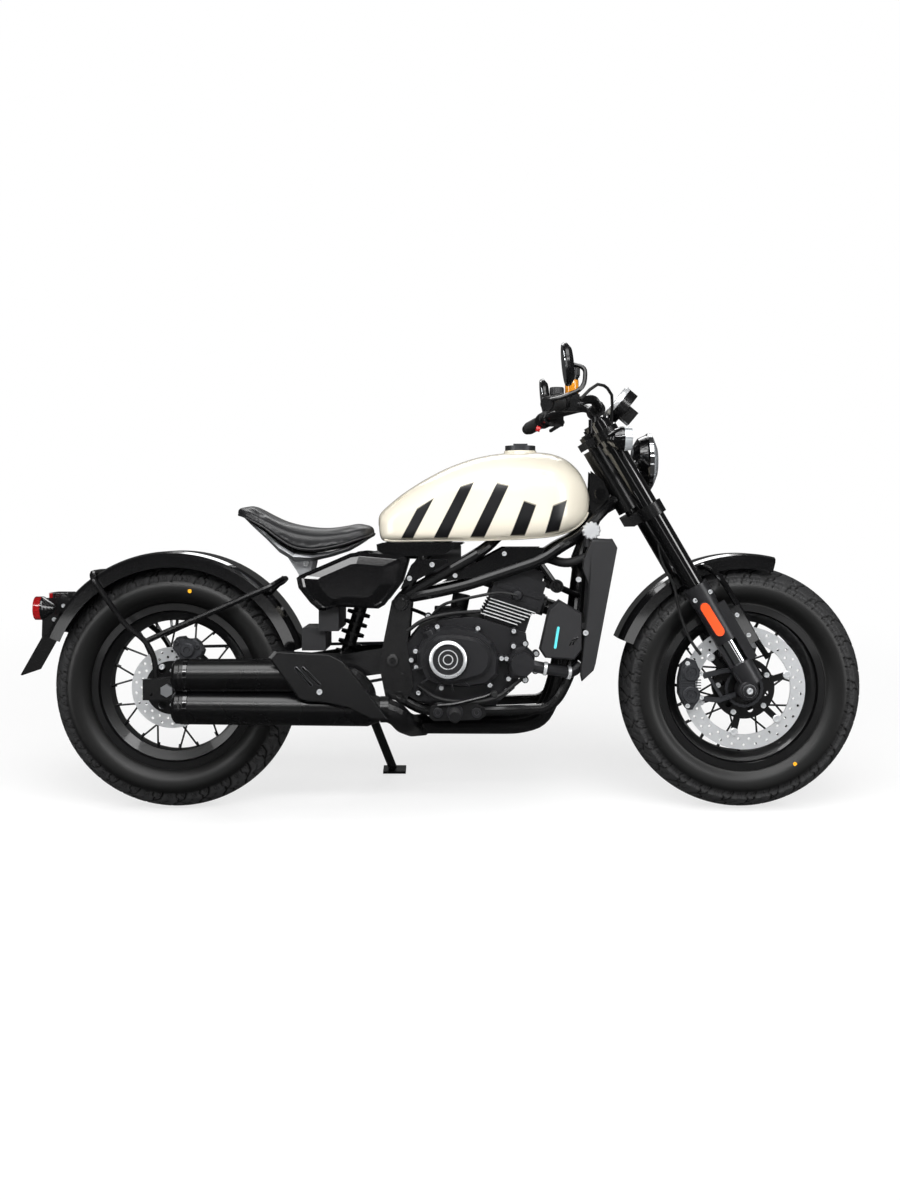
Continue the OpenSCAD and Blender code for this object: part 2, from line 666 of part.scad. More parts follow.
module mufflers() {
    color(black) {
        translate([0, -muffler_y, muffler_z]) rotate([0, 90, 0]) can(24, 440);
        translate([0, -muffler_y, lower_z]) rotate([0, 90.6, 0]) can(24, low_can);
        pipe(bent([[420, -muffler_y, muffler_z], [480, -muffler_y, muffler_z - 6],
            [508, 4 - muffler_y, muffler_z - 40], [508, 4 - muffler_y, lower_z + 10]], 40), 54, 12);
    }
}

// Closed silencer body with a recessed outlet, lying along +Z from low to high
module can(low, high) {
    rotate_extrude($fn = 72) polygon([[0, low + 40], [18, low + 40], [18, low], [30, low],
        [muffler_r - 7, low + 4], [muffler_r - 1, low + 10], [muffler_r - 1, low + 20],
        [muffler_r, low + 22], [muffler_r, high - 30], [muffler_r - 12, high], [0, high]]);
}

module exhaust_shield() {
    shield = [[270, 413], [285, 430], [420, 423], [458, 403], [508, 340], [545, 290], [570, 257],
        [533, 257], [470, 287], [407, 301], [367, 302], [345, 310], [307, 365]];
    color(charcoal)
        panel(shield, [420, 350], [[muffler_y + muffler_r + seat_gap, 1], [muffler_y + muffler_r + 6, 1],
            [muffler_y + muffler_r + 11, 0.94]]);
}

// Bodywork

// Depth of the knee scallop at a point of the tank's side
function scallop(p) = abs(p.y) < 60 ? 0 :
    10 * exp(-pow((p.x - 690) / 120, 4) - pow((p.z - 772) / 62, 4));

module tank() {
    // [x, half width, bottom, top]
    rows = [
        [534, 30, 737, 766], [540, 58, 706, 776], [560, 78, 697, 795], [600, 98, 696, 827],
        [660, 118, 697, 865], [720, 131, 698, 895], [790, 142, 699, 919], [860, tank_y, 701, 931],
        [930, tank_y, 705, tank_top], [985, 143, 710, 930], [1025, 126, 720, 915],
        [1056, 99, 737, 889], [1076, 70, 760, 857], [1086, 40, 785, 828]
    ];
    color("#ece7da") {
        difference() {
            skin([for (r = rows) [for (p = section(r[0], r[1], r[2], r[3], 0.42, 0.86, 28))
                [p.x, p.y - sign(p.y) * scallop(p), p.z]]]);
            translate([500, -44, 600]) cube([700, 88, 204]);
            translate([500, -84, 600]) cube([380, 168, 146]);
        }
        translate([907, 0, tank_top - 8]) cylinder(r = cap_r, h = 12);
    }
}

module fuel_cap() {
    color(silver) translate([907, 0, tank_top + 4 + seat_gap]) {
        difference() {
            cylinder(r = cap_r - 2, h = 13);
            translate([0, 0, -1]) cylinder(r = 30, h = 8);
        }
        translate([-18, -8, 12]) cube([37, 16, 7]);
    }
}

module side_covers() {
    cover = [[331, 607], [341, 615], [468, 670], [493, 673], [604, 663], [612, 653], [594, 589],
        [556, 539], [539, 529], [430, 534], [404, 524], [387, 526], [366, 544], [336, 582]];
    insert = [[700, 595], [812, 657], [862, 684], [966, 684], [956, 666.5], [888, 643.5], [780, 607.1]];
    bracket = [[593, 576], [598, 588], [621, 639], [637, 655], [713, 655], [716, 645]];
    rail_y = 92 + tube_d / 2 + seat_gap;
    rail = [[532, 692], [548, 696.5], [760, 696.5], [700, 664], [560, 660], [534, 676]];
    inner = arm_y + 8 + 2 * seat_gap;
    tube_face = 104 + tube_d / 2 - 1;
    color(black) both_sides() {
        panel(cover, [470, 600], [[inner, 0.98], [156, 1], [164, 0.9], [160, 0.86], [168, 0.6]]);
        panel(insert, [800, 650], [[116, 1], [124, 0.99]]);
        panel(bracket, [650, 625], [[tube_face + seat_gap, 1], [tube_face + 7, 0.98]]);
        panel(rail, [640, 680], [[rail_y, 1], [tube_face, 1]]);
        rod([621, -96.3 - tube_d / 2 - seat_gap, 600], [621, -118, 600], 10);
    }
}

// [x, half width, bottom, top, depth of the pan below]
seat_rows = [
    [168, 64, 779, 788, 2], [186, 104, 766, 793, 4], [214, 124, 748, 784, 14],
    [248, 134, 728, 766, 26], [281, seat_y, 700, 751, 32], [320, seat_y, 675, 740, 30],
    [366, 136, 668, 733, 20], [408, 130, 674, 732, 16], [451, 118, 686, 738, 14],
    [476, 106, 696, 745, 10], [496, 88, 705, 747, 6], [508, 66, 712, 738, 4],
    [516, 40, 718, 730, 3]
];

module seat_pan() {
    rows = [for (i = [1 : 11]) seat_rows[i]];
    color(silver) {
        skin([for (r = rows) section(r[0], r[1] * 0.88, r[2] - r[4], r[2] - seat_gap, 0.6, 0.6, 16)]);
        for (s = [-1, 1]) plate([[293, 668], [339, 596], [354, 596], [366, 656]],
            s * (66 + seat_gap + 3) - 3, 6);
    }
}

module seat_pad() {
    color("#333336") skin([for (r = seat_rows) section(r[0], r[1], r[2], r[3], 0.5, 0.7, 20)]);
}

module fender(r, half, from, to, skirt) {
    outer = [[r - skirt, half], [r - 14, half], [r - 5, half - 8], [r, half - 26]];
    inner = [for (i = [3 : -1 : 0]) [outer[i].x - (i > 1 ? fender_t : 0), outer[i].y -
        (i < 2 ? fender_t : i == 2 ? 2 : 0)]];
    half_ring = concat(outer, [[r, 0], [r - fender_t, 0]], inner);
    color(black) both_sides() rotate([90, 0, 0]) rotate([0, 0, from])
        rotate_extrude(angle = to - from, $fn = 120) polygon([for (p = half_ring) [p.x, -p.y]]);
}

module rear_fender() {
    difference() {
        at_rear() fender(rear_fender_r, 93, 17, 157.5, 42);
        // Room for the chain
        translate([0, chain_y - chain_w, 300]) cube([400, 60, 132]);
    }
}

module front_fender() {
    at_front() fender(front_fender_r, front_fender_half, 76, 158.5, 40);
    // Tubular stays ahead of the fork legs, on plates beside the fork's guards
    color(black) both_sides() {
        pipe(bent([steer_pt(70, front_fender_half - 12, collar + 30), steer_pt(92, 86, collar + 26),
            steer_pt(107, 88, collar - 20), steer_pt(109, 88, 190),
            steer_pt(105, 88, 95), steer_pt(108, 88, 40)], 40), 16, 10);
        in_steer() translate([leg_p + 31 + seat_gap, 94, 95]) cube([42, 6, 105]);
    }
    // Lugs that stand on the fork collars
    color(black) both_sides() in_steer()
        translate([leg_p - 12, 71.5, collar + seat_gap]) cube([24, 7.5, 26]);
}

function at_fender(a, y) = [(rear_fender_r + seat_gap) * cos(a), y,
    rear_r + (rear_fender_r + seat_gap) * sin(a)];
plate_top = [-334, 0, 455];
plate_tilt = atan(57 / 101);
plate_h = 116;
plate_t = 4;

module tail_frame() {
    color(black) {
        both_sides() {
            pipe(bent([[-206, 0, 618], [-206, 84, 617], [-198, 104, 600], [-116, 105, 484],
                [-62, 105, 443], [-38, 112, 400], [-34, 116, 350.6]], 30), 15, 8);
            pipe(bent([[-66, 104, 440], [-20, 104, 462], [262, 104, 585], [280, 60, 598],
                [282, 0, 600]], 30), 15, 8);
            plate(concat([for (a = [139 : 3 : 157]) (rear_fender_r + seat_gap) * [cos(a), sin(a)]
                + [0, rear_r]], [[-347, 450], [-344, 551]]), 44, 5);
            rod([-328, 46, 529], [-328, rear_signal_y - 30 - seat_gap, 529], 12, 16);
        }
        rod(at_fender(45, 0), [282, 0, 602], 16, 16);
        translate([-344, -49, 540]) cube([60, 98, 6]);
        rod([-334, -49, 462], [-334, 49, 462], 14, 16);
        difference() {
            translate(plate_top) rotate([0, plate_tilt, 0]) translate([0, -85, -plate_h])
                cube([plate_t, 170, plate_h]);
            for (s = [-1, 1]) translate(plate_top) rotate([0, plate_tilt, 0])
                translate([-1, s * 70, -50]) rotate([0, 90, 0]) cylinder(r = 3.5, h = 6, $fn = 32);
        }
    }
}

module tail_lights() {
    color("#b3161a") {
        translate([-331, -40, 546 + seat_gap]) cube([50, 80, 18]);
        for (s = [-1, 1]) translate([-315, s * rear_signal_y, 529]) rotate([0, -90, 0]) {
            translate([0, 0, -24]) cylinder(r1 = 10, r2 = 30, h = 26, $fn = 48);
            translate([0, 0, 2]) cylinder(r = 30, h = 22, $fn = 48);
        }
    }
}

module foot_controls() {
    color(black) {
        both_sides() {
            plate([[668, 258], [680, 249], [796, 252], [811, 262], [808, 284], [790, 292],
                [690, 296], [672, 286]], 186, 9);
            rod([733, 195, 271], [733, 290, 271], 26, 24);
            for (x = [690, 785]) rod([x, cradle_y + tube_d / 2 + seat_gap, 268], [x, 188, 268], 18, 16);
        }
        pipe(bent([[690, -194, 288], [733, -202, 292], [812, -204, 312], [830, -206, 322],
            [832, -250, 322]], 20), 11, 8);
        pipe(bent([[690, 194, 288], [733, 202, 292], [812, 204, 330], [830, 206, 346],
            [832, 250, 346]], 20), 11, 8);
    }
}

module rear_caliper() {
    color(charcoal) difference() {
        union() {
            at_rear() {
                plate([[4, 102], [12, 132], [60, 128], [84, 90], [64, 56], [34, 72]],
                    -rear_disc_y - 20, 42);
                plate([[22, 10], [44, 10], [60, 70], [22, 90]], arm_t - arm_y + seat_gap, 12);
            }
        }
        translate([0, 0, rear_r]) lathe([[0, -rear_disc_y - disc_t / 2 - 2],
            [rear_disc_r + 3, -rear_disc_y - disc_t / 2 - 2],
            [rear_disc_r + 3, -rear_disc_y + disc_t / 2 + 2], [0, -rear_disc_y + disc_t / 2 + 2]]);
    }
}

// Front end, all on the steering stem

module triple_clamps() {
    color(black) in_steer() {
        for (c = [[lower_clamp, 34], [upper_clamp, clamp_t]]) difference() {
            union() {
                for (s = [-1, 1]) translate([leg_p, s * leg_y, c[0]]) cylinder(r = 34, h = c[1]);
                translate([-22, -leg_y, c[0] + 3]) cube([clamp_front + 22, 2 * leg_y, c[1] - 6]);
            }
            for (s = [-1, 1]) translate([leg_p, s * leg_y, c[0] - 1])
                cylinder(r = leg_r + seat_gap, h = c[1] + 2);
        }
        translate([0, 0, lower_clamp + 4]) cylinder(r = stem_r, h = upper_clamp - lower_clamp + clamp_t + 8);
        translate([0, 0, upper_clamp + clamp_t - 3]) cylinder(r = 20, h = 12, $fn = 6);
    }
    color(black) for (s = [-1, 1]) rod([bar_at.x, s * 45, bar_at.z - 76],
        [bar_at.x, s * 45, bar_at.z - 19 - seat_gap], 30, 32);
}

module legs() { for (s = [-1, 1]) in_steer() translate([leg_p, s * leg_y, 0]) children(); }

module fork_tubes() {
    color(black) legs() difference() {
        union() {
            translate([0, 0, collar + seat_gap]) cylinder(r = leg_r, h = fork_top - collar - 6);
            translate([0, 0, fork_top - 6]) cylinder(r = 20, h = 6);
        }
        translate([0, 0, collar - 1]) cylinder(r = inner_r + seat_gap, h = 80);
    }
}

module fork_stanchions() {
    color(silver) legs() translate([0, 0, 30]) cylinder(r = inner_r, h = collar + 40);
}

module fork_lowers() {
    color(charcoal) both_sides() difference() {
        union() {
            in_steer() translate([leg_p, leg_y, 0]) {
                translate([0, 0, 8]) cylinder(r = 31, h = casting_top - 8);
                translate([0, 0, guard_low]) cylinder(r = 31, h = guard_top - guard_low);
                translate([0, 0, guard_top]) cylinder(r = 33, h = collar - guard_top);
                for (x = [-30, 20]) translate([x, -14, casting_top - 4])
                    cube([10, 28, guard_low - casting_top + 8]);
                translate([20, 8, casting_top - 6]) cube([24, 14, guard_top - casting_top - 10]);
            }
            at_front() rotate([-90, 0, 0]) translate([0, 0, leg_y - 27]) cylinder(r = 26, h = 50);
            in_steer() translate([axle_offset - 8, leg_y - 24, 0]) cube([40, 44, 50]);
        }
        in_steer() translate([leg_p, leg_y, 30 - seat_gap])
            cylinder(r = inner_r + seat_gap, h = collar);
        at_front() rotate([-90, 0, 0]) {
            cylinder(r = axle_r + seat_gap, h = 200);
            cylinder(r = 18, h = leg_y - 27);
            translate([0, 0, leg_y + 23]) cylinder(r = 19, h = 40);
        }
    }
}

module front_axle() {
    color(silver) at_front() difference() {
        union() {
            rotate([90, 0, 0]) cylinder(r = axle_r, h = 2 * leg_y + 56, center = true);
            for (s = [-1, 1]) rotate([s * 90, 0, 0]) translate([0, 0, -leg_y - 34])
                cylinder(r = 17, h = 34 - 23 - seat_gap, $fn = 48);
            rotate([-90, 0, 0]) translate([0, 0, 60 + seat_gap])
                cylinder(r = 16, h = leg_y - 27 - 60 - 2 * seat_gap);
            rotate([90, 0, 0]) translate([0, 0, front_disc_y - 3 + seat_gap])
                cylinder(r = 16, h = leg_y - 27 - front_disc_y + 3 - 2 * seat_gap);
        }
        rotate([90, 0, 0]) cylinder(r = axle_bore_r, h = 400, center = true);
    }
}

module headlight() {
    color(black) translate(head_at + [77, 0, 81]) rotate([0, 90, 0]) {
        rotate_extrude($fn = 72) polygon([[0, -44], [40, -42], [62, -28], [lamp_r - 4, -8],
            [lamp_r, -4], [lamp_r, 6], [lamp_r - 10, 12], [40, 22], [0, 25]]);
    }
    color(black) both_sides() difference() {
        rod(head_at + [48, 40, 81], steer_pt(leg_p + 4, leg_y - 10, 640), 18, 24);
        in_steer() translate([leg_p, leg_y, 560]) cylinder(r = leg_r + seat_gap, h = 180);
    }
}

module front_signals() {
    color(charcoal) both_sides() {
        translate(head_at + [-18, front_signal_y, 132]) rotate([0, 90, 0]) rotate_extrude($fn = 48)
            polygon([[0, -33], [10, -31], [24, -14], [31, 2], [31, 10], [29, 30], [0, 34]]);
        difference() {
            union() {
                rod(head_at + [-28, front_signal_y - 16, 128], steer_pt(leg_p, leg_y + 27, 712), 14, 16);
                in_steer() translate([leg_p, leg_y, 702]) cylinder(r = 30, h = 20);
            }
            in_steer() translate([leg_p, leg_y, 600]) cylinder(r = leg_r + seat_gap, h = 180);
        }
    }
}

module gauge() {
    color(black) translate(head_at + [6, 0, 232]) rotate([0, -50, 0]) {
        translate([0, 0, -18]) cylinder(r = gauge_r, h = 36);
        translate([-30, -22, -48]) cube([40, 44, 32]);
    }
    // Stalk that stands in front of the upper clamp
    color(black) {
        in_steer() translate([clamp_front + seat_gap, -14, upper_clamp + 4]) cube([10, 28, 40]);
        rod(head_at + [-8, 0, 202], steer_pt(clamp_front + 6, 0, upper_clamp + 38), 20, 16);
    }
}

bar_at = head_at + [-61, 0, 216];
grip_at = head_at + [-183, 290, 212];
grip_dir = unit(head_at + [-216, bar_y - 8, 199] - grip_at);
grip_l = 122;

module handlebar() {
    half = [bar_at, [bar_at.x, 66, bar_at.z], head_at + [-78, 120, 238], grip_at - 100 * grip_dir, grip_at];
    path = concat([for (i = [4 : -1 : 1]) [half[i].x, -half[i].y, half[i].z]],
        [for (i = [1 : 4]) half[i]]);
    color(black) {
        pipe(bent(path, 40), bar_d, 12);
        for (s = [-1, 1]) translate([bar_at.x, s * 45 - 14, bar_at.z]) rotate([-90, 0, 0])
            cylinder(r = 19, h = 28, $fn = 32);
    }
}

module grips() {
    color(black) both_sides()
        rod(grip_at + seat_gap * grip_dir, grip_at + grip_l * grip_dir, 34, 32);
}

module switchgear() {
    color(black) both_sides() difference() {
        union() {
            rod(grip_at - 34 * grip_dir, grip_at - 2 * grip_dir, 46, 32);
            rod(grip_at - 58 * grip_dir, grip_at - 36 * grip_dir, 38, 32);
            translate(grip_at + [15, -64, -18]) cube([40, 34, 42]);
            rod(grip_at + [37, -47, 16], grip_at + [37, -47, 68], 32, 32);
            rod(grip_at + [37, -47, 66], grip_at + [37, -47, 91], 38, 32);
            pipe(bent([grip_at + [49, -50, 0], grip_at + [61, 10, -4], grip_at + [37, 110, -16],
                grip_at + [33, 134, -18]], 30), 11, 8);
        }
        rod(grip_at - 96 * grip_dir, grip_at + grip_dir, bar_d + 2 * seat_gap + 1, 48);
    }
}

module mirrors() {
    end = grip_at + (grip_l + seat_gap) * grip_dir;
    color(black) both_sides() {
        translate(mirror_at) rotate([0, 84, 0]) rotate_extrude($fn = 64)
            polygon([[0, -11], [mirror_r - 3, -11], [mirror_r, -7], [mirror_r, 0],
                [mirror_r - 14, 10], [0, 13]]);
        rod(end, end + 12 * grip_dir, 30, 32);
        pipe(bent([end + [-1, 6, 6], end + [30, 22, 12], mirror_at + [36, 24, -59],
            mirror_at + [40, 8, -9], mirror_at + [8, 0, 0]], 24), 11, 8);
    }
}

module front_caliper() {
    outer = -front_disc_y - 26;
    color(charcoal) difference() {
        union() {
            at_front() {
                plate([[-169, -18], [-174, 27], [-165, 67], [-140, 84], [-95, 66], [-87, -18],
                    [-103, -60], [-147, -56]], outer, 40);
                plate([[-105, 42], [-15, 62], [-15, 32], [-100, 12]], outer, 14);
                plate([[-105, -36], [-15, -6], [-15, -32], [-100, -63]], outer, 14);
            }
        }
        at_front() lathe([[0, -front_disc_y - disc_t / 2 - 2],
            [front_disc_r + 4, -front_disc_y - disc_t / 2 - 2],
            [front_disc_r + 4, -front_disc_y + disc_t / 2 + 2],
            [0, -front_disc_y + disc_t / 2 + 2]]);
        in_steer() translate([leg_p, -leg_y, -20]) cylinder(r = 33 + seat_gap, h = 160);
        in_steer() translate([leg_p - 42, -leg_y - 23, 40]) cube([60, 40, 120]);
        in_steer() translate([axle_offset - 8 - seat_gap, -leg_y - 21, -20]) cube([60, 46, 80]);
        at_front() rotate([90, 0, 0]) cylinder(r = 28, h = 200);
    }
}

module cables() {
    color(black) {
        pipe(bent([[grip_at.x + 58.2, -236, grip_at.z + 13], head_at + [-76, -200, 274],
            head_at + [-28, -120, 252], steer_pt(68, -66, 775), steer_pt(48, -26, 710),
            steer_pt(47, -26, 560), steer_pt(40, -60, 470),
            steer_pt(8, -76, 430), steer_pt(-8, -88, 380), steer_pt(-6, -92, 330),
            steer_pt(-34, -90, 250), steer_pt(-44, -88, 180), steer_pt(-38, -86, 134)], 60), 8, 8);
        pipe(bent([[grip_at.x + 58.2, 236, grip_at.z + 13], head_at + [-76, 200, 274],
            head_at + [-28, 120, 252], steer_pt(68, 66, 775), steer_pt(48, 26, 710), steer_pt(47, 26, 600), steer_pt(36, 26, 533)], 60), 9, 8);
    }
}

place() {
    frame();
    swingarm();
    rear_axle();
    engine_case();
    engine_covers();
    cylinder_block();
    cylinder_head();
    airbox();
    radiator();
    radiator_shrouds();
    headers();
    mufflers();
    exhaust_shield();
    tank();
    fuel_cap();
    side_covers();
    seat_pad();
    seat_pan();
    rear_fender();
    tail_frame();
    tail_lights();
    foot_controls();
    rear_caliper();
    chain();
    side_stand();
    triple_clamps();
    fork_tubes();
    fork_stanchions();
    fork_lowers();
    front_axle();
    front_fender();
    headlight();
    front_signals();
    gauge();
    handlebar();
    grips();
    switchgear();
    mirrors();
    front_caliper();
    cables();
    front_tyre();
    front_wheel();
    front_disc();
    rear_tyre();
    rear_wheel();
    rear_disc();
}
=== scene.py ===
# A bobber motorcycle with laced wheels, parked on its side stand in a plain studio.
import math

import bmesh
import bpy
from mathutils import Matrix, Vector
from mathutils.bvhtree import BVHTree


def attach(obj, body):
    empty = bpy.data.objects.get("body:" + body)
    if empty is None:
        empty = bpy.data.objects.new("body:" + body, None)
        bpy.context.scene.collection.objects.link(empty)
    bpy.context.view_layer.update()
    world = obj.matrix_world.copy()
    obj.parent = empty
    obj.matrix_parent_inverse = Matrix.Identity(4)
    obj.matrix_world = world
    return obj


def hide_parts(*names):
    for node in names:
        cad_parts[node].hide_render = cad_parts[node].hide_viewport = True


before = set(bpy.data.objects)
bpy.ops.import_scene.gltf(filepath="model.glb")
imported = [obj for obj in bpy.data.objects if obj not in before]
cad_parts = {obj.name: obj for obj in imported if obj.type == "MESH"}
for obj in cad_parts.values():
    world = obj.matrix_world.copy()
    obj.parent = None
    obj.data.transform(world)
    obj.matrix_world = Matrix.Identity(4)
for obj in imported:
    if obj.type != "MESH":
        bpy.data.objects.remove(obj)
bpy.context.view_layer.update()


# The studio
# White paper on the floor, one wide soft light above and one at each end of the machine.
# The camera stands square to the machine's right side and leans over with it.

def colour(code):
    """Linear RGBA of an sRGB hex colour."""
    parts = [int(code[i:i + 2], 16) / 255 for i in (1, 3, 5)]
    return [c / 12.92 if c <= 0.04045 else ((c + 0.055) / 1.055) ** 2.4 for c in parts] + [1]


def node(tree, kind, values=None, **settings):
    """Adds a shader node. Each value is a constant for a socket, or a socket to link from."""
    made = tree.nodes.new("ShaderNode" + kind)
    for key, value in settings.items():
        setattr(made, key, value)
    for key, value in (values or {}).items():
        if isinstance(value, bpy.types.NodeSocket):
            tree.links.new(value, made.inputs[key])
        else:
            made.inputs[key].default_value = value
    return made


# The upright machine is measured in millimetres from the ground under its rear axle.
MM = 0.001
LEAN = math.radians(10)
MIDDLE = Vector((703, 194.656, -1.13942))
BIKE = Matrix.Scale(MM, 4) @ Matrix.Translation(-MIDDLE) @ Matrix.Rotation(-LEAN, 4, "X")

WHITE = [1, 1, 1, 1]
paper = bpy.data.materials.new("studio_paper")
paper.use_nodes = True
paper.node_tree.nodes.clear()
fibre = node(paper.node_tree, "TexNoise", {"Scale": 180.0, "Detail": 3.0})
fibre_bump = node(paper.node_tree, "Bump", {"Strength": 0.05, "Height": fibre.outputs["Fac"]})
sheet = node(paper.node_tree, "BsdfDiffuse", {"Color": WHITE, "Normal": fibre_bump.outputs["Normal"]})
bright = node(paper.node_tree, "Emission", {"Color": WHITE, "Strength": 1.0})
rays = node(paper.node_tree, "LightPath")
spot = node(paper.node_tree, "TexCoord").outputs["Object"]
reach = node(paper.node_tree, "VectorMath", {0: spot}, operation="LENGTH").outputs["Value"]
share = node(paper.node_tree, "MapRange", {"Value": reach, 1: 1.0, 2: 2.6, 3: 0.72, 4: 1.0},
             interpolation_type="SMOOTHSTEP").outputs["Result"]
shown = node(paper.node_tree, "Math", {0: rays.outputs["Is Camera Ray"], 1: share},
             operation="MULTIPLY")
mixed = node(paper.node_tree, "MixShader", {0: shown.outputs[0], 1: sheet.outputs[0],
                                            2: bright.outputs[0]})
# Glossy rays see the floor as a faint glow in place of the lit white paper: a painted dark reflection in
# the glossy surfaces that face the floor.
painted_dark_reflection = node(paper.node_tree, "Emission", {"Color": WHITE, "Strength": 0.05})
floor_dark_to_gloss = node(paper.node_tree, "MixShader", {0: rays.outputs["Is Glossy Ray"], 1: mixed.outputs[0],
                                              2: painted_dark_reflection.outputs[0]})
node(paper.node_tree, "OutputMaterial", {"Surface": floor_dark_to_gloss.outputs[0]})

floor_shape = bmesh.new()
bmesh.ops.create_grid(floor_shape, x_segments=2, y_segments=2, size=14)
floor_mesh = bpy.data.meshes.new("studio_floor")
floor_shape.to_mesh(floor_mesh)
floor_shape.free()
floor_mesh.materials.append(paper)
floor = bpy.data.objects.new("studio_floor", floor_mesh)
bpy.context.scene.collection.objects.link(floor)

studio = bpy.data.worlds.new("studio")
bpy.context.scene.world = studio
studio.use_nodes = True
studio.node_tree.nodes.clear()
air_rays = node(studio.node_tree, "LightPath")
air = node(studio.node_tree, "MapRange", {"Value": air_rays.outputs["Is Camera Ray"], 3: 0.05, 4: 1.0})
glow = node(studio.node_tree, "Background", {"Color": WHITE, "Strength": air.outputs["Result"]})
node(studio.node_tree, "OutputWorld", {"Surface": glow.outputs[0]})

# name: (place, aimed at, width and height in metres, watts)
LAMPS = {
    "top_light": ((0.0, -1.2, 3.3), (0, 0, 0.5), (3.4, 1.6), 84),
    "front_light": ((3.0, -2.0, 1.4), (0, 0, 0.6), (0.9, 2.2), 40),
    "rear_light": ((-3.0, -2.0, 1.4), (0, 0, 0.6), (0.9, 2.2), 34),
    "rim_strip": ((0.0, -2.4, 2.5), (0, 0, 0.4), (4.2, 0.3), 60),
    "low_strip": ((0.0, -4.6, 0.9), (0, 0, 0.5), (4.6, 0.22), 6),
    "far_light": ((0.0, 3.0, 2.6), (0, 0, 0.5), (3.0, 1.0), 45),
}
for lamp_name, (place, target, size, watts) in LAMPS.items():
    light = bpy.data.lights.new(lamp_name, "AREA")
    light.shape = "RECTANGLE"
    light.size, light.size_y = size
    light.energy = watts
    lamp = bpy.data.objects.new(lamp_name, light)
    bpy.context.scene.collection.objects.link(lamp)
    lamp.location = place
    lamp.rotation_euler = (Vector(target) - Vector(place)).to_track_quat("-Z", "Y").to_euler()

eye = bpy.data.cameras.new("camera")
eye.sensor_width = 36
eye.lens = 41.88
eye.shift_y = -0.0583
camera = bpy.data.objects.new("camera", eye)
bpy.context.scene.collection.objects.link(camera)
stand_point = BIKE @ Vector((720.9, -3700, 728.75))
camera.matrix_world = Matrix.Translation(stand_point) @ Matrix.Rotation(math.pi / 2 - LEAN, 4, "X")
bpy.context.scene.camera = camera
bpy.context.scene.view_settings.view_transform = "Standard"

# The brake hose and the throttle and clutch cable
# Rubber-covered hose from the master cylinder down to the front caliper, and a sheathed cable
# into the headstock. Both hang in the loops that the handlebar's swing needs.

RAKE = math.radians(30.2)
HEAD = Vector((1168.5, 0, 828.0))


def steer_pt(p, y, h):
    """Point of the front end: p forward of the steering axis, h up along the fork."""
    return Vector((1485 + (p - 17) * math.cos(RAKE) - h * math.sin(RAKE), y,
                   318 + (p - 17) * math.sin(RAKE) + h * math.cos(RAKE)))


def bent(path, radius, steps=2):
    """The path with a bend at each inner corner that starts radius millimetres before it."""
    path = [Vector(p) for p in path]
    points = [path[0]]
    for a, b, c in zip(path, path[1:], path[2:]):
        reach = min(radius, 0.45 * (a - b).length, 0.45 * (b - c).length)
        p, q = b + (a - b).normalized() * reach, b + (c - b).normalized() * reach
        for t in (i / steps for i in range(steps + 1)):
            points.append((1 - t) ** 2 * p + 2 * t * (1 - t) * b + t * t * q)
    return points + [path[-1]]


def lay_cord(name, route, diameter):
    """A cord along a route in millimetres."""
    points = [BIKE @ p for p in bent(route, 60)]
    curve = bpy.data.curves.new(name, "CURVE")
    curve.dimensions = "3D"
    curve.bevel_depth = 1
    curve.bevel_resolution = 4
    curve.use_fill_caps = True
    line = curve.splines.new("POLY")
    line.points.add(len(points) - 1)
    for i, p in enumerate(points):
        line.points[i].co = (*p, 1)
        line.points[i].radius = diameter / 2 * MM
    made = bpy.data.objects.new(name, curve)
    bpy.context.scene.collection.objects.link(made)
    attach(made, "steering")
    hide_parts("cables")
    return made


hose = lay_cord("brake_hose", [
    (1043.7, -236, 1053), HEAD + Vector((-76, -200, 274)), HEAD + Vector((-28, -120, 252)),
    steer_pt(68, -66, 775), steer_pt(48, -26, 710), steer_pt(47, -26, 560), steer_pt(40, -60, 470),
    steer_pt(8, -76, 430), steer_pt(-8, -88, 380), steer_pt(-6, -92, 330), steer_pt(-34, -90, 250),
    steer_pt(-44, -88, 180), steer_pt(-38, -86, 134)], 8)
cable = lay_cord("clutch_cable", [
    (1043.7, 236, 1053), HEAD + Vector((-76, 200, 274)), HEAD + Vector((-28, 120, 252)),
    steer_pt(68, 66, 775), steer_pt(48, 26, 710), steer_pt(47, 26, 600), steer_pt(36, 26, 533)], 9)


# Finishes of the solids
# Painted steel and plastic are black in three glosses; the engine's castings are coated
# black with machined edges, and the tank is cream enamel under a clear coat.

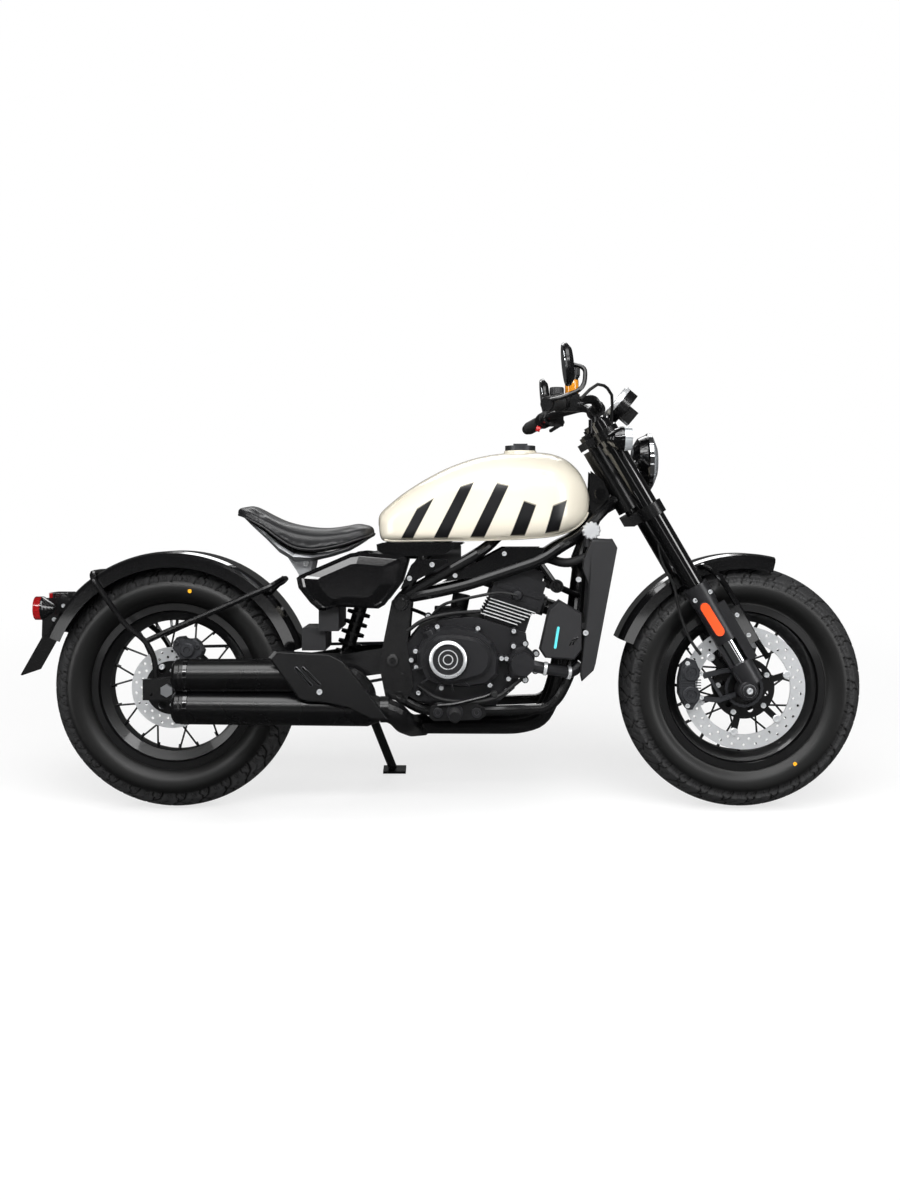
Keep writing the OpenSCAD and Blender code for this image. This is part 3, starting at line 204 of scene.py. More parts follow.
def finish(name, code, rough, metal=0.0, coat=0.0, grain_mm=0.0, depth=0.0, shift=0.15, wear=None):
    """A finish whose colour and roughness drift a little, with a grain of the given size."""
    made = bpy.data.materials.new(name)
    made.use_nodes = True
    tree = made.node_tree
    tree.nodes.clear()
    place = node(tree, "TexCoord").outputs["Object"]
    drift = node(tree, "TexNoise", {"Vector": place, "Scale": 11.0, "Detail": 4.0}).outputs["Fac"]
    deep = colour(code)
    pale = [min(1.0, c * (1 + shift) + 0.004 * shift) for c in deep[:3]] + [1]
    tint = node(tree, "Mix", {0: drift, 6: deep, 7: pale}, data_type="RGBA")
    gloss_drift = node(tree, "MapRange", {"Value": drift, 3: rough * 0.85, 4: rough * 1.2})
    values = {"Base Color": tint.outputs[2], "Roughness": gloss_drift.outputs["Result"],
              "Metallic": metal, "Coat Weight": coat, "Coat Roughness": 0.05}
    if grain_mm:
        grain = node(tree, "TexNoise", {"Vector": place, "Scale": 1 / (grain_mm * MM), "Detail": 3.0})
        bump = node(tree, "Bump", {"Strength": depth, "Distance": grain_mm * MM * 0.4,
                                   "Height": grain.outputs["Fac"]})
        values["Normal"] = bump.outputs["Normal"]
    if wear:
        wear(tree, values)
    shader = node(tree, "BsdfPrincipled", values)
    node(tree, "OutputMaterial", {"Surface": shader.outputs["BSDF"]})
    return made


# Wet-sprayed enamel, deep black and mirror-like.
black_enamel = finish("black_enamel", "#060607", 0.14, coat=1.0, grain_mm=9, depth=0.02)
# Baked enamel on rolled rims, with drawn spokes in the same coat.
rim_coat = finish("rim_coat", "#040405", 0.38, coat=0.25, grain_mm=3, depth=0.03)
# Heat-proof black on the silencer bodies, a satin skin with one soft highlight.
silencer_skin = finish("silencer_skin", "#060607", 0.27, grain_mm=1.2, depth=0.04)
# Powder coat, a satin skin with a faint orange peel.
powder_coat = finish("powder_coat", "#0a0a0b", 0.24, grain_mm=1.6, depth=0.12, shift=0.3)
# Moulded and textured ABS.
black_plastic = finish("black_plastic", "#1d1d1f", 0.5, grain_mm=1.2, depth=0.3, shift=0.3)
# Sand-cast aluminium under a heat-proof black coating.
coated_casting = finish("coated_casting", "#242426", 0.32, metal=0.35, grain_mm=1.8, depth=0.35, shift=0.4)
# Carbon-black rubber, dull and slightly grey.
tyre_rubber = finish("tyre_rubber", "#0e0e0f", 0.6, grain_mm=1.5, depth=0.2, shift=0.3)
soft_rubber = finish("soft_rubber", "#0f0f10", 0.6, grain_mm=1.4, depth=0.3, shift=0.3)
# Zinc-plated and turned steel, stainless discs.
bright_steel = finish("bright_steel", "#c3c5c8", 0.3, metal=1.0, grain_mm=1.2, depth=0.06, shift=0.1)
# Hard chrome on the fork's inner tubes.
hard_chrome = finish("hard_chrome", "#e4e6e8", 0.1, metal=1.0, shift=0.02)
# Bead-blasted aluminium.
blasted_alloy = finish("blasted_alloy", "#c8cacd", 0.42, metal=1.0, grain_mm=1.4, depth=0.2, shift=0.1)
# Hard-anodised aluminium, grey.
dark_anodised = finish("dark_anodised", "#3a3b3e", 0.38, metal=0.6, grain_mm=1.4, depth=0.15)
# Cream enamel with a clear coat.
cream_enamel = finish("cream_enamel", "#e3dccb", 0.35, coat=0.8, grain_mm=30, depth=0.01, shift=0.02)
# Dyed leatherette.
seat_hide = finish("seat_hide", "#151517", 0.4, grain_mm=2.0, depth=0.2, shift=0.2)
red_glass = finish("red_glass", "#8f1013", 0.15, coat=1.0)
smoke_glass = finish("smoke_glass", "#2b2b2d", 0.12, coat=1.0)



def disc_steel(name, hub, carrier_r):
    """Ground stainless ring with fine circular lines, black anodised inside carrier_r."""
    def ground(tree, values):
        place = node(tree, "TexCoord").outputs["Object"]
        centre = BIKE @ Vector(hub)
        from_hub = node(tree, "VectorMath", {0: place, 1: centre}, operation="SUBTRACT").outputs[0]
        axle = Vector((0, math.cos(LEAN), -math.sin(LEAN)))
        beside = node(tree, "VectorMath", {0: from_hub, 1: axle}, operation="CROSS_PRODUCT").outputs[0]
        radius = node(tree, "VectorMath", {0: beside}, operation="LENGTH").outputs["Value"]
        inside = node(tree, "Math", {0: radius, 1: carrier_r * MM}, operation="LESS_THAN").outputs[0]
        tint = node(tree, "Mix", {0: inside, 6: colour("#dfe1e3"), 7: colour("#0d0d0e")},
                    data_type="RGBA")
        values["Base Color"] = tint.outputs[2]
        rings = node(tree, "Math", {0: radius, 1: 9000.0}, operation="MULTIPLY").outputs[0]
        wave = node(tree, "Math", {0: rings}, operation="SINE").outputs[0]
        bump = node(tree, "Bump", {"Strength": 0.12, "Distance": 0.0004, "Height": wave})
        values["Normal"] = bump.outputs["Normal"]
        values["Metallic"] = node(tree, "MapRange", {"Value": inside, 3: 0.6, 4: 0.2}).outputs["Result"]
    return finish(name, "#cfd1d4", 0.3, wear=ground)


front_disc_steel = disc_steel("front_disc_steel", (1485, 0, 318), 120.5)
rear_disc_steel = disc_steel("rear_disc_steel", (0, 0, 320), 69.5)

FINISH_OF = {
    black_enamel: ["side_covers", "rear_fender", "fork_tubes", "front_fender", "headlight"],
    silencer_skin: ["mufflers"],
    rim_coat: ["front_wheel", "rear_wheel"],
    powder_coat: ["frame", "swingarm", "headers", "exhaust_shield", "tail_frame",
                  "foot_controls", "side_stand", "triple_clamps", "gauge",
                  "handlebar", "switchgear", "mirrors"],
    black_plastic: ["airbox", "radiator", "radiator_shrouds"],
    coated_casting: ["engine_case", "engine_covers", "cylinder_head", "cylinder_block",
                     "fork_lowers"],
    tyre_rubber: ["front_tyre", "rear_tyre"],
    soft_rubber: ["grips", "cables"],
    bright_steel: ["rear_axle", "front_axle"],
    front_disc_steel: ["front_disc"],
    rear_disc_steel: ["rear_disc"],
    hard_chrome: ["fork_stanchions"],
    blasted_alloy: ["seat_pan"],
    dark_anodised: ["fuel_cap", "rear_caliper", "front_caliper", "chain"],
    cream_enamel: ["tank"],
    seat_hide: ["seat_pad"],
    red_glass: ["tail_lights"],
    smoke_glass: ["front_signals"],
}
for made, names in FINISH_OF.items():
    for name in names:
        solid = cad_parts[name]
        solid.data.materials.clear()
        solid.data.materials.append(made)

for cord_piece in (hose, cable):
    cord_piece.data.materials.append(soft_rubber)

# Rounded edges of the castings and mouldings
# Cast, pressed and moulded pieces have no sharp corners, so their solids are drawn with small
# bevels that catch the light.

EDGE_MM = {"side_covers": 10, "engine_covers": 7, "radiator_shrouds": 8, "exhaust_shield": 7,
           "cylinder_head": 6, "engine_case": 5, "airbox": 5, "swingarm": 6, "front_caliper": 3,
           "rear_caliper": 3, "triple_clamps": 2.5, "fork_lowers": 2, "foot_controls": 2,
           "switchgear": 2, "radiator": 2, "tail_lights": 2, "gauge": 2, "seat_pan": 2}
for name, width in EDGE_MM.items():
    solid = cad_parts[name]
    weld = solid.modifiers.new("weld", "WELD")
    weld.merge_threshold = 0.00002
    flat = solid.modifiers.new("flat", "DECIMATE")
    flat.decimate_type, flat.angle_limit = "DISSOLVE", math.radians(0.5)
    edge = solid.modifiers.new("edge", "BEVEL")
    edge.width, edge.segments, edge.limit_method = width * MM, 3, "ANGLE"
    edge.angle_limit = math.radians(28)
    edge.harden_normals = False
    even = solid.modifiers.new("even", "WEIGHTED_NORMAL")
    even.keep_sharp = True

# The tyres
# Moulded rubber with a road tread: a curved and a zigzag groove in each pitch, rows of short
# slits on the shoulders and a rib round the middle. They sit on the rims by their beads.

def piece(name, shape, looks, body, place=BIKE, sharp=38):
    """Stands a mesh drawn in millimetres in its place and fixes it to a body."""
    shape.transform(place)
    bmesh.ops.recalc_face_normals(shape, faces=shape.faces)
    mesh = bpy.data.meshes.new(name)
    shape.to_mesh(mesh)
    shape.free()
    mesh.shade_smooth()
    mesh.set_sharp_from_angle(angle=math.radians(sharp))
    mesh.materials.append(looks)
    made = bpy.data.objects.new(name, mesh)
    bpy.context.scene.collection.objects.link(made)
    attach(made, body)
    return made


def catmull(rows, steps):
    """Rows of numbers with smooth steps between them."""
    made = []
    for i in range(len(rows) - 1):
        a, b, c, d = (rows[max(i - 1, 0)], rows[i], rows[i + 1], rows[min(i + 2, len(rows) - 1)])
        for k in range(steps):
            t = k / steps
            made.append([q + t * (r - p) / 2 + t * t * (2 * p - 5 * q + 4 * r - s) / 2
                         + t ** 3 * (3 * q - p - 3 * r + s) / 2 for p, q, r, s in zip(a, b, c, d)])
    return made + [list(rows[-1])]


# Carbon black is dull on the tread and shines a little on the smooth sidewalls. The tread faces are painted
# lighter grey than the near-black sidewalls as a painted highlight, and the grooves are painted near-black
# as painted shade.
def tread_tint(tree, values):
    groove = node(tree, "Attribute", attribute_name="groove").outputs["Fac"]
    tread = node(tree, "Attribute", attribute_name="tread").outputs["Fac"]
    # Painted highlight: the tread faces are mixed to a lighter grey than the sidewalls.
    painted_tread_highlight = node(tree, "Mix", {0: tread, 6: colour("#050505"), 7: colour("#262627")}, data_type="RGBA")
    # Painted shade: the deeper the groove, the nearer its colour goes to black.
    low = node(tree, "MapRange", {"Value": groove, 1: 0.3, 2: 2.5}).outputs["Result"]
    tint = node(tree, "Mix", {0: low, 6: painted_tread_highlight.outputs[2], 7: colour("#030303")}, data_type="RGBA")
    values["Base Color"] = tint.outputs[2]
    values["Roughness"] = node(tree, "MapRange", {"Value": tread, 3: 0.46, 4: 0.62}).outputs["Result"]


treaded_rubber = finish("treaded_rubber", "#0e0e0f", 0.5, grain_mm=1.5, depth=0.1, wear=tread_tint)

# Along the tread, across it from the middle; then the groove's width and depth.
GROOVES = [
    ([(4, 13), (8, 27), (17, 41), (31, 52), (46, 60), (54, 72), (57, 84)], 4.6, 5.0),
    ([(38, 13), (45, 24), (38, 31), (46, 40), (39, 47), (27, 56), (33, 63), (24, 72), (30, 84)],
     3.4, 4.5),
    ([(-5, 11), (80, 11)], 3.4, 5.0),
]
GROOVES += [([(a, 40 + 5 * k), (a + 9, 43 + 5 * k)], 2.2, 2.5)
            for k, a in enumerate((52, 50, 60, 62))]
GROOVES += [([(a, 64 + k), (a + 3, 84)], 2.2, 2.5) for k, a in enumerate((1, 7, 13, 40, 46))]


def groove_depth(along, across, pitch):
    spot = Vector((along, abs(across)))
    deepest = 0.0
    for points, width, depth in GROOVES:
        for shift in (-pitch, 0, pitch):
            for a, b in zip(points, points[1:]):
                start, run = Vector((a[0] + shift, a[1])), Vector((b[0] - a[0], b[1] - a[1]))
                t = max(0.0, min(1.0, (spot - start).dot(run) / run.length_squared))
                off = (spot - start - t * run).length / (width / 2)
                if off < 1.2:
                    deepest = max(deepest, depth * (1 - max(0.0, off - 0.7) / 0.5))
    return deepest


def make_tyre(name, centre, radius, width, pitches, body):
    edge, crown = width / 2, 75
    line = [(radius - crown + crown * math.cos(a), crown * math.sin(a), crown * a)
            for a in (math.radians(50 * k / 34) for k in range(35))]
    wall = catmull([line[-1][:2], (282, edge * 0.87), (274, edge * 0.95), (261, edge),
                    (240, edge * 0.95), (223, edge * 0.78), (217.3, 50)], 3)[1:]
    for r, y in wall:
        line.append((r, y, line[-1][2] + math.dist((r, y), line[-1][:2])))
    line += [(217.3, 43.7, 400), (203.3, 43.7, 400)]
    line = [(r, -y, -s) for r, y, s in reversed(line[1:])] + line
    pitch = 2 * math.pi * radius / pitches
    columns = 30
    verts, faces, deep, tread = [], [], [], []
    sector = [[groove_depth(pitch * (k / columns + (0.5 if s < 0 else 0)) % pitch, s, pitch)
               if abs(s) < 96 else 0.0 for r, y, s in line] for k in range(columns)]
    total = pitches * columns
    for k in range(total):
        c, s = math.cos(2 * math.pi * k / total), math.sin(2 * math.pi * k / total)
        for (r, y, across), cut in zip(line, sector[k % columns]):
            verts.append((centre[0] + (r - cut) * c, y, centre[1] + (r - cut) * s))
            deep.append(cut)
            tread.append(max(0.0, min(1.0, (88 - abs(across)) / 8)))
    n = len(line)
    for k in range(total):
        for j in range(n):
            a, b = k * n, (k + 1) % total * n
            faces.append((a + j, a + (j + 1) % n, b + (j + 1) % n, b + j))
    mesh = bpy.data.meshes.new(name)
    mesh.from_pydata([BIKE @ Vector(v) for v in verts], [], faces)
    mesh.attributes.new("groove", "FLOAT", "POINT").data.foreach_set("value", deep)
    mesh.attributes.new("tread", "FLOAT", "POINT").data.foreach_set("value", tread)
    shape = bmesh.new()
    shape.from_mesh(mesh)
    made = piece(name, shape, treaded_rubber, body, place=Matrix(), sharp=50)
    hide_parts(body.replace("wheel", "tyre"))
    return made


make_tyre("front_tyre_treaded", (1485, 318), 318, 130, 29, "front_wheel")
make_tyre("rear_tyre_treaded", (0, 320), 320, 150, 29, "rear_wheel")

paint_dots = {"front_wheel": (1485 + 135.4, -61.5, 118.7), "rear_wheel": (44.9, -74.3, 570.1)}
dot_yellow = finish("dot_yellow", "#f0a800", 0.6, grain_mm=1.5, depth=0.1)
for body, place in paint_dots.items():
    dot = bmesh.new()
    cap = bmesh.ops.create_cone(dot, cap_ends=True, segments=24, radius1=5.5, radius2=5, depth=3,
                                matrix=Matrix.Rotation(math.pi / 2, 4, "X"))
    bmesh.ops.translate(dot, verts=dot.verts, vec=place)
    piece(body + "_paint_dot", dot, dot_yellow, body)

# The fuel tank
# Two steel pressings welded at a flange that shows as a bead along the bottom, with a knee
# scallop in each side. Cream enamel, five dark slanted stripes a side with pale edges.

def bulge(a, e):
    return math.copysign(abs(a) ** e, a)


def section(x, half, low_z, high_z, low, high, count):
    """Rounded cross-section at x, squarer below than above where low is under high."""
    ring = []
    for k in range(count):
        c, s = math.cos(2 * math.pi * k / count), math.sin(2 * math.pi * k / count)
        e = low if s < 0 else high
        ring.append(Vector((x, half * bulge(c, e),
                            (low_z + high_z) / 2 + (high_z - low_z) / 2 * bulge(s, e))))
    return ring


def skin(rings):
    """Closed mesh over rings that have the same number of points."""
    shape = bmesh.new()
    rows = [[shape.verts.new(p) for p in ring] for ring in rings]
    n = len(rings[0])
    for a, b in zip(rows, rows[1:]):
        for j in range(n):
            shape.faces.new((a[j], b[j], b[(j + 1) % n], a[(j + 1) % n]))
    shape.faces.new(rows[0])
    shape.faces.new(rows[-1][::-1])
    bmesh.ops.recalc_face_normals(shape, faces=shape.faces)
    return shape


def scalloped(p):
    if abs(p.y) < 60:
        return p
    depth = 10 * math.exp(-((p.x - 690) / 120) ** 4 - ((p.z - 772) / 62) ** 4)
    return Vector((p.x, p.y - math.copysign(depth, p.y), p.z))


TANK_ROWS = [(534, 30, 737, 766), (540, 58, 706, 776), (560, 78, 697, 795), (600, 98, 696, 827),
             (660, 118, 697, 865), (720, 131, 698, 895), (790, 142, 699, 919),
             (860, 149, 701, 931), (930, 149, 705, 934), (985, 143, 710, 930),
             (1025, 126, 720, 915), (1056, 99, 737, 889), (1076, 70, 760, 857), (1086, 40, 785, 828)]
tank_rings = [[scalloped(p) for p in section(*row, 0.42, 0.86, 112)] for row in catmull(TANK_ROWS, 6)]
for end, out in ((0, -2.0), (-1, 2.0)):
    middle = sum(tank_rings[end], Vector()) / len(tank_rings[end])
    inner = [[middle + (p - middle) * f + Vector((out * g, 0, 0)) for p in tank_rings[end]]
             for f, g in ((0.75, 0.6), (0.4, 0.9))]
    tank_rings = inner[::-1] + tank_rings if end == 0 else tank_rings + inner
tank_shape = skin(tank_rings)
tank_side = BVHTree.FromBMesh(tank_shape)


def on_tank(x, z, side, proud):
    """Point on the tank's side at x and z, lifted off the paint by proud millimetres."""
    hit, normal, _, _ = tank_side.ray_cast(Vector((x, side * 300, z)), Vector((0, -side, 0)))
    return hit + normal * proud if hit else None


def cut_out(shape, low, high):
    """The shape with the box from low to high taken away."""
    cutter = bmesh.new()
    for v in bmesh.ops.create_cube(cutter, size=1)["verts"]:
        v.co = Vector((low[i] if v.co[i] < 0 else high[i] for i in range(3)))
    stock, tool = (bpy.data.objects.new(n, bpy.data.meshes.new(n)) for n in ("stock", "tool"))
    for holder, form in ((stock, shape), (tool, cutter)):
        form.to_mesh(holder.data)
        form.free()
        bpy.context.scene.collection.objects.link(holder)
    cut = stock.modifiers.new("cut", "BOOLEAN")
    cut.operation, cut.object, cut.solver = "DIFFERENCE", tool, "EXACT"
    bpy.context.view_layer.update()
    done = bmesh.new()
    done.from_mesh(stock.evaluated_get(bpy.context.evaluated_depsgraph_get()).to_mesh())
    for holder in (stock, tool):
        bpy.data.objects.remove(holder)
    return done


tank_shape = cut_out(tank_shape, (600, -44, 600), (1200, 44, 804))
tank_shape = cut_out(tank_shape, (601, -84, 601), (880, 84, 746))
tank = piece("tank_body", tank_shape, cream_enamel, "chassis", sharp=50)
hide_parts("tank")

# Corners of each stripe in the side view, from the low rear one.
STRIPES = [((596, 709), (625, 709), (678, 809), (636, 782)),
           ((680, 710), (715, 710), (781, 849), (747, 838)),
           ((774, 712), (809, 712), (869, 840), (840, 847)),
           ((876, 716), (912, 717), (939, 791), (909, 801)),
           ((965, 722), (999, 728), (1019, 804), (984, 789))]


def stripe_patches(grow, proud):
    shape = bmesh.new()
    for corners in STRIPES:
        a, b, c, d = (Vector(p) for p in corners)
        middle = (a + b + c + d) / 4
        a, b, c, d = (p + (p - middle).normalized() * grow * 1.4 for p in (a, b, c, d))
        for side in (-1, 1):
            grid = []
            for i in range(33):
                u = i / 32
                rear, front = a.lerp(d, u), b.lerp(c, u)
                grid.append([])
                for k in range(9):
                    spot = rear.lerp(front, k / 8)
                    grid[-1].append(shape.verts.new(on_tank(spot.x, spot.y, side, proud)))
            for low, high in zip(grid, grid[1:]):
                for k in range(8):
                    shape.faces.new((low[k], low[k + 1], high[k + 1], high[k]))
    return shape


stripe_paint = finish("stripe_paint", "#101012", 0.34, grain_mm=30, depth=0.01, shift=0.1)
pinstripe_paint = finish("pinstripe_paint", "#8f8a7c", 0.35, shift=0.02)
piece("tank_pinstripes", stripe_patches(2.2, 0.3), pinstripe_paint, "chassis")
piece("tank_stripes", stripe_patches(0, 0.6), stripe_paint, "chassis")


def tube(shape, path, radius, sides=10):
    """Round bar along a path, added to a mesh."""
    last = len(path) - 1
    across = None
    rings = []
    for i, p in enumerate(path):
        run = (path[min(i + 1, last)] - path[max(i - 1, 0)]).normalized()
        if across is None:
            across = run.cross(Vector((0, 1, 0)) if abs(run.y) < 0.9 else Vector((1, 0, 0)))
        across = (across - across.dot(run) * run).normalized()
        other = run.cross(across)
        rings.append([shape.verts.new(p + radius * (math.cos(2 * math.pi * k / sides) * across
                      + math.sin(2 * math.pi * k / sides) * other)) for k in range(sides)])
    for a, b in zip(rings, rings[1:]):
        for k in range(sides):
            shape.faces.new((a[k], b[k], b[(k + 1) % sides], a[(k + 1) % sides]))
    shape.faces.new(rings[0])
    shape.faces.new(rings[-1][::-1])


flange = bmesh.new()
for side in (-1, 1):
    seam = [on_tank(row[0], row[2] + 5, side, 0.5) for row in catmull(TANK_ROWS, 3)[5:-2]]
    tube(flange, [p for p in seam if p], 3.2)
neck = bmesh.ops.create_cone(flange, cap_ends=True, segments=64, radius1=45, radius2=42, depth=12)
bmesh.ops.translate(flange, verts=neck["verts"], vec=(907, 0, 932))
piece("tank_flange", flange, cream_enamel, "chassis", sharp=45)

# The seat pad
# Foam under a dark grained cover, pulled down over the pan and piped along its lower rim.
# The cover swells a little over the foam.

SEAT_ROWS = [(167, 66, 771, 790), (175, 92, 763, 796), (190, 110, 758, 795), (214, 124, 746, 785),
             (248, 134, 727, 767), (281, 138, 700, 752), (320, 138, 675, 741), (366, 136, 668, 734),
             (408, 130, 674, 733), (451, 118, 685, 739), (476, 108, 694, 746), (496, 95, 701, 749),
             (508, 80, 705, 747), (515, 64, 710, 742), (518, 50, 715, 737)]


def swollen(shape, voxel, pressure, cap, floor_z):
    """The shape as a padded cover: remeshed and blown up by at most cap millimetres."""
    mesh = bpy.data.meshes.new("padding")
    shape.to_mesh(mesh)
    shape.free()
    pad = bpy.data.objects.new("padding", mesh)
    bpy.context.scene.collection.objects.link(pad)
    grid = pad.modifiers.new("voxels", "REMESH")
    grid.mode, grid.voxel_size = "VOXEL", voxel
    still = bpy.data.meshes.new_from_object(
        pad.evaluated_get(bpy.context.evaluated_depsgraph_get()))
    pad.modifiers.clear()
    pad.data = still
    rest = [v.co.copy() for v in still.vertices]
    down = [v.normal.z < floor_z for v in still.vertices]
    cloth = pad.modifiers.new("cover", "CLOTH")
    cloth.settings.use_pressure = True
    cloth.settings.uniform_pressure_force = pressure
    cloth.settings.effector_weights.gravity = 0
    scene = bpy.context.scene
    for number in range(1, 21):
        scene.frame_set(number)
    blown = pad.evaluated_get(bpy.context.evaluated_depsgraph_get()).to_mesh()
    moved = [v.co.copy() for v in blown.vertices]
    scene.frame_set(1)
    pad.modifiers.clear()
    for v, start, end, low in zip(still.vertices, rest, moved, down):
        step = end - start
        if step.length > cap:
            step *= cap / step.length
        v.co = start if low else start + step
    done = bmesh.new()
    done.from_mesh(still)
    bpy.data.objects.remove(pad)
    bmesh.ops.smooth_vert(done, verts=done.verts, factor=0.5, use_axis_x=True, use_axis_y=True,
                          use_axis_z=True)
    return done


seat_rings = [[p * MM for p in section(x, half - 3, low + 1, high - 3, 0.5, 0.7, 64)]
              for x, half, low, high in catmull(SEAT_ROWS, 5)]
seat_shape = swollen(skin(seat_rings), 0.005, 4.0, 0.005, -0.35)
bmesh.ops.scale(seat_shape, verts=seat_shape.verts, vec=(1000, 1000, 1000))
pad = piece("seat_cover", seat_shape, seat_hide, "chassis", sharp=80)
rounder = pad.modifiers.new("rounder", "SUBSURF")
rounder.levels = rounder.render_levels = 1
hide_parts("seat_pad")

piping = bmesh.new()
for side in (-1, 1):
    rim = []
    for x, half, low, high in catmull(SEAT_ROWS[1:], 4):
        rim.append(Vector((x, side * (half - 1) * 0.985, low + (high - low) * 0.16)))
    tube(piping, rim, 3.2)
piece("seat_piping", piping, seat_hide, "chassis", sharp=60)

# Bolts and nuts
# Zinc-plated socket-head bolts hold the covers, brackets, discs and calipers; the larger
# frame bolts are black. Each stands with its shank in the piece that it clamps.

def frame_of(axis):
    axis = Vector(axis).normalized()
    side = axis.cross(Vector((0, 0, 1)) if abs(axis.z) < 0.9 else Vector((1, 0, 0))).normalized()
    return axis, side, axis.cross(side)


def turned(shape, rows, at, axis, count=48, closed=False, lobes=0, lobe=0.0):
    """Round form about an axis through at, from rows of [radius, distance along the axis]."""
    axis, side, other = frame_of(axis)
    rings = []
    for radius, along in rows:
        ring = []
        for k in range(count):
            a = 2 * math.pi * k / count
            r = max(radius, 0.01) + (lobe * math.cos(lobes * a) if lobes and radius > 1 else 0)
            ring.append(shape.verts.new(Vector(at) + along * axis
                                        + r * (math.cos(a) * side + math.sin(a) * other)))
        rings.append(ring)
    pairs = list(zip(rings, rings[1:])) + ([(rings[-1], rings[0])] if closed else [])
    for a, b in pairs:
        for k in range(count):
            shape.faces.new((a[k], b[k], b[(k + 1) % count], a[(k + 1) % count]))
    if not closed:
        shape.faces.new(rings[0])
        shape.faces.new(rings[-1][::-1])


def bolt(shape, at, axis, radius):
    """Socket-head bolt that stands on a surface at a point."""
    axis, side, other = frame_of(axis)
    tall = radius * 0.8
    rings = []
    for share, lift, hexed in ((1, -0.6, 0), (1, 0.78, 0), (0.88, 1, 0), (0.56, 1, 1), (0.56, 0.35, 1)):
        ring = []
        for k in range(24):
            a = 2 * math.pi * k / 24
            r = radius * share
            if hexed:
                r *= math.cos(math.pi / 6) / math.cos(a % (math.pi / 3) - math.pi / 6)
            ring.append(shape.verts.new(Vector(at) + lift * tall * axis
                                        + r * (math.cos(a) * side + math.sin(a) * other)))
        rings.append(ring)
    for a, b in zip(rings, rings[1:]):
        for k in range(24):
            shape.faces.new((a[k], b[k], b[(k + 1) % 24], a[(k + 1) % 24]))
    shape.faces.new(rings[0])
    shape.faces.new(rings[-1][::-1])


CASE_Y, COVER_Y = 120, 166
CLUTCH = [(636, 420), (655, 458), (690, 480), (740, 487), (790, 476), (830, 444), (849, 402),
          (846, 360), (820, 336), (770, 328), (700, 330), (655, 345), (638, 380)]
GENERATOR = [(738, 330), (730, 400), (760, 456), (822, 478), (884, 452), (904, 398), (888, 338),
             (822, 308)]
PUMP = [(872, 352), (868, 400), (884, 430), (912, 436), (938, 412), (936, 372), (912, 350)]
RIGHT, LEFT = Vector((0, -1, 0)), Vector((0, 1, 0))

plated = bmesh.new()
bosses = bmesh.new()
for outline, about, side, depth in ((CLUTCH, (735, 405), -1, 34), (PUMP, (905, 392), -1, 30),
                                    (GENERATOR, (822, 392), 1, 30)):
    for i, (x, z) in enumerate(outline):
        if outline is CLUTCH and i % 2:
            continue
        out = Vector((x - about[0], 0, z - about[1])).normalized()
        foot = Vector((x, side * CASE_Y, z)) + 3 * out
        turned(bosses, [(9, -4), (9, depth - 8), (7.5, depth - 6)], foot, (0, side, 0), 24)
        bolt(plated, foot + Vector((0, side * (depth - 6), 0)), (0, side, 0), 6)
# On the crankcase, the frame brackets, the inserts and the seat's brackets
for x, z in ((665, 508), (622, 396), (640, 312), (866, 318), (884, 470)):
    turned(bosses, [(9, -14), (9, 7), (7.5, 9)], (x, -CASE_Y, z), RIGHT, 24)
    bolt(plated, (x, -CASE_Y - 9, z), RIGHT, 6)
for side in (-1, 1):
    for x, z in ((675, 640), (617, 605)):
        bolt(plated, (x, side * 124.5, z), (0, side, 0), 6.5)
    for x, z in ((734, 612), (860, 668)):
        bolt(plated, (x, side * 124, z), (0, side, 0), 6)
    bolt(plated, (347, side * 72.3, 642), (0, side, 0), 8)
    bolt(plated, (-17, side * 122, 378), (0, side, 0), 7)
    for a in (150, 143):
        bolt(plated, (363 * math.cos(math.radians(a)), side * 49, 320 + 350 * math.sin(math.radians(a))),
             (0, side, 0), 5)
bolt(plated, (398, -245, 328), RIGHT, 7)
bright_bolt = finish("bright_bolt", "#e2e4e6", 0.28, metal=0.6, grain_mm=0.8, depth=0.08, shift=0.1)
piece("chassis_bolts", plated, bright_bolt, "chassis", sharp=30)
piece("cover_bosses", bosses, coated_casting, "chassis", sharp=40)

black_bolts = bmesh.new()
for side in (-1, 1):
    turned(black_bolts, [(20, -4), (20, 4), (17, 7)], (596, side * 134, 542), (0, side, 0), 40)
    bolt(black_bolts, (596, side * 140, 542), (0, side, 0), 13)
    bolt(black_bolts, (574, side * 122, 395), (0, side, 0), 17)
    bolt(black_bolts, (994, side * 136, 585), (0, side, 0), 12)
    bolt(black_bolts, (1113.5, side * 42, 824), (0, side, 0), 15)
    bolt(black_bolts, (592, side * 124, 306), (0, side, 0), 10)
piece("frame_bolts", black_bolts, black_enamel, "chassis", sharp=30)

FRONT_HUB, REAR_HUB = Vector((1485, 0, 318)), Vector((0, 0, 320))


def round_hub(hub, radius, degrees, y):
    a = math.radians(degrees)
    return hub + Vector((radius * math.cos(a), y, radius * math.sin(a)))


front_bolts, rear_bolts = bmesh.new(), bmesh.new()
for k in range(6):
    bobbin = round_hub(FRONT_HUB, 117, 17 + 60 * k, -70)
    turned(front_bolts, [(10.5, -3), (10.5, 1.5), (9, 2.5), (4.5, 2.5), (4.5, 1)], bobbin, RIGHT, 32)
    bolt(rear_bolts, round_hub(REAR_HUB, 44, 60 * k + 30, -77), RIGHT, 5.5)
    bolt(rear_bolts, round_hub(REAR_HUB, 46, 60 * k, 91), LEFT, 5.5)
for k in range(5):
    bolt(front_bolts, round_hub(FRONT_HUB, 68, 30 - 72 * k, -69), RIGHT, 7)
for hub, shape in ((FRONT_HUB, front_bolts), (REAR_HUB, rear_bolts)):
    for s in (-1, 1):
        turned(shape, [(3.6, -6), (3.6, 16), (2.6, 19), (2.6, 26), (0.5, 27)],
               round_hub(hub, 166, 96, 0), Vector((0.1, 0, -1)), 16)
piece("front_wheel_bolts", front_bolts, bright_bolt, "front_wheel", sharp=30)
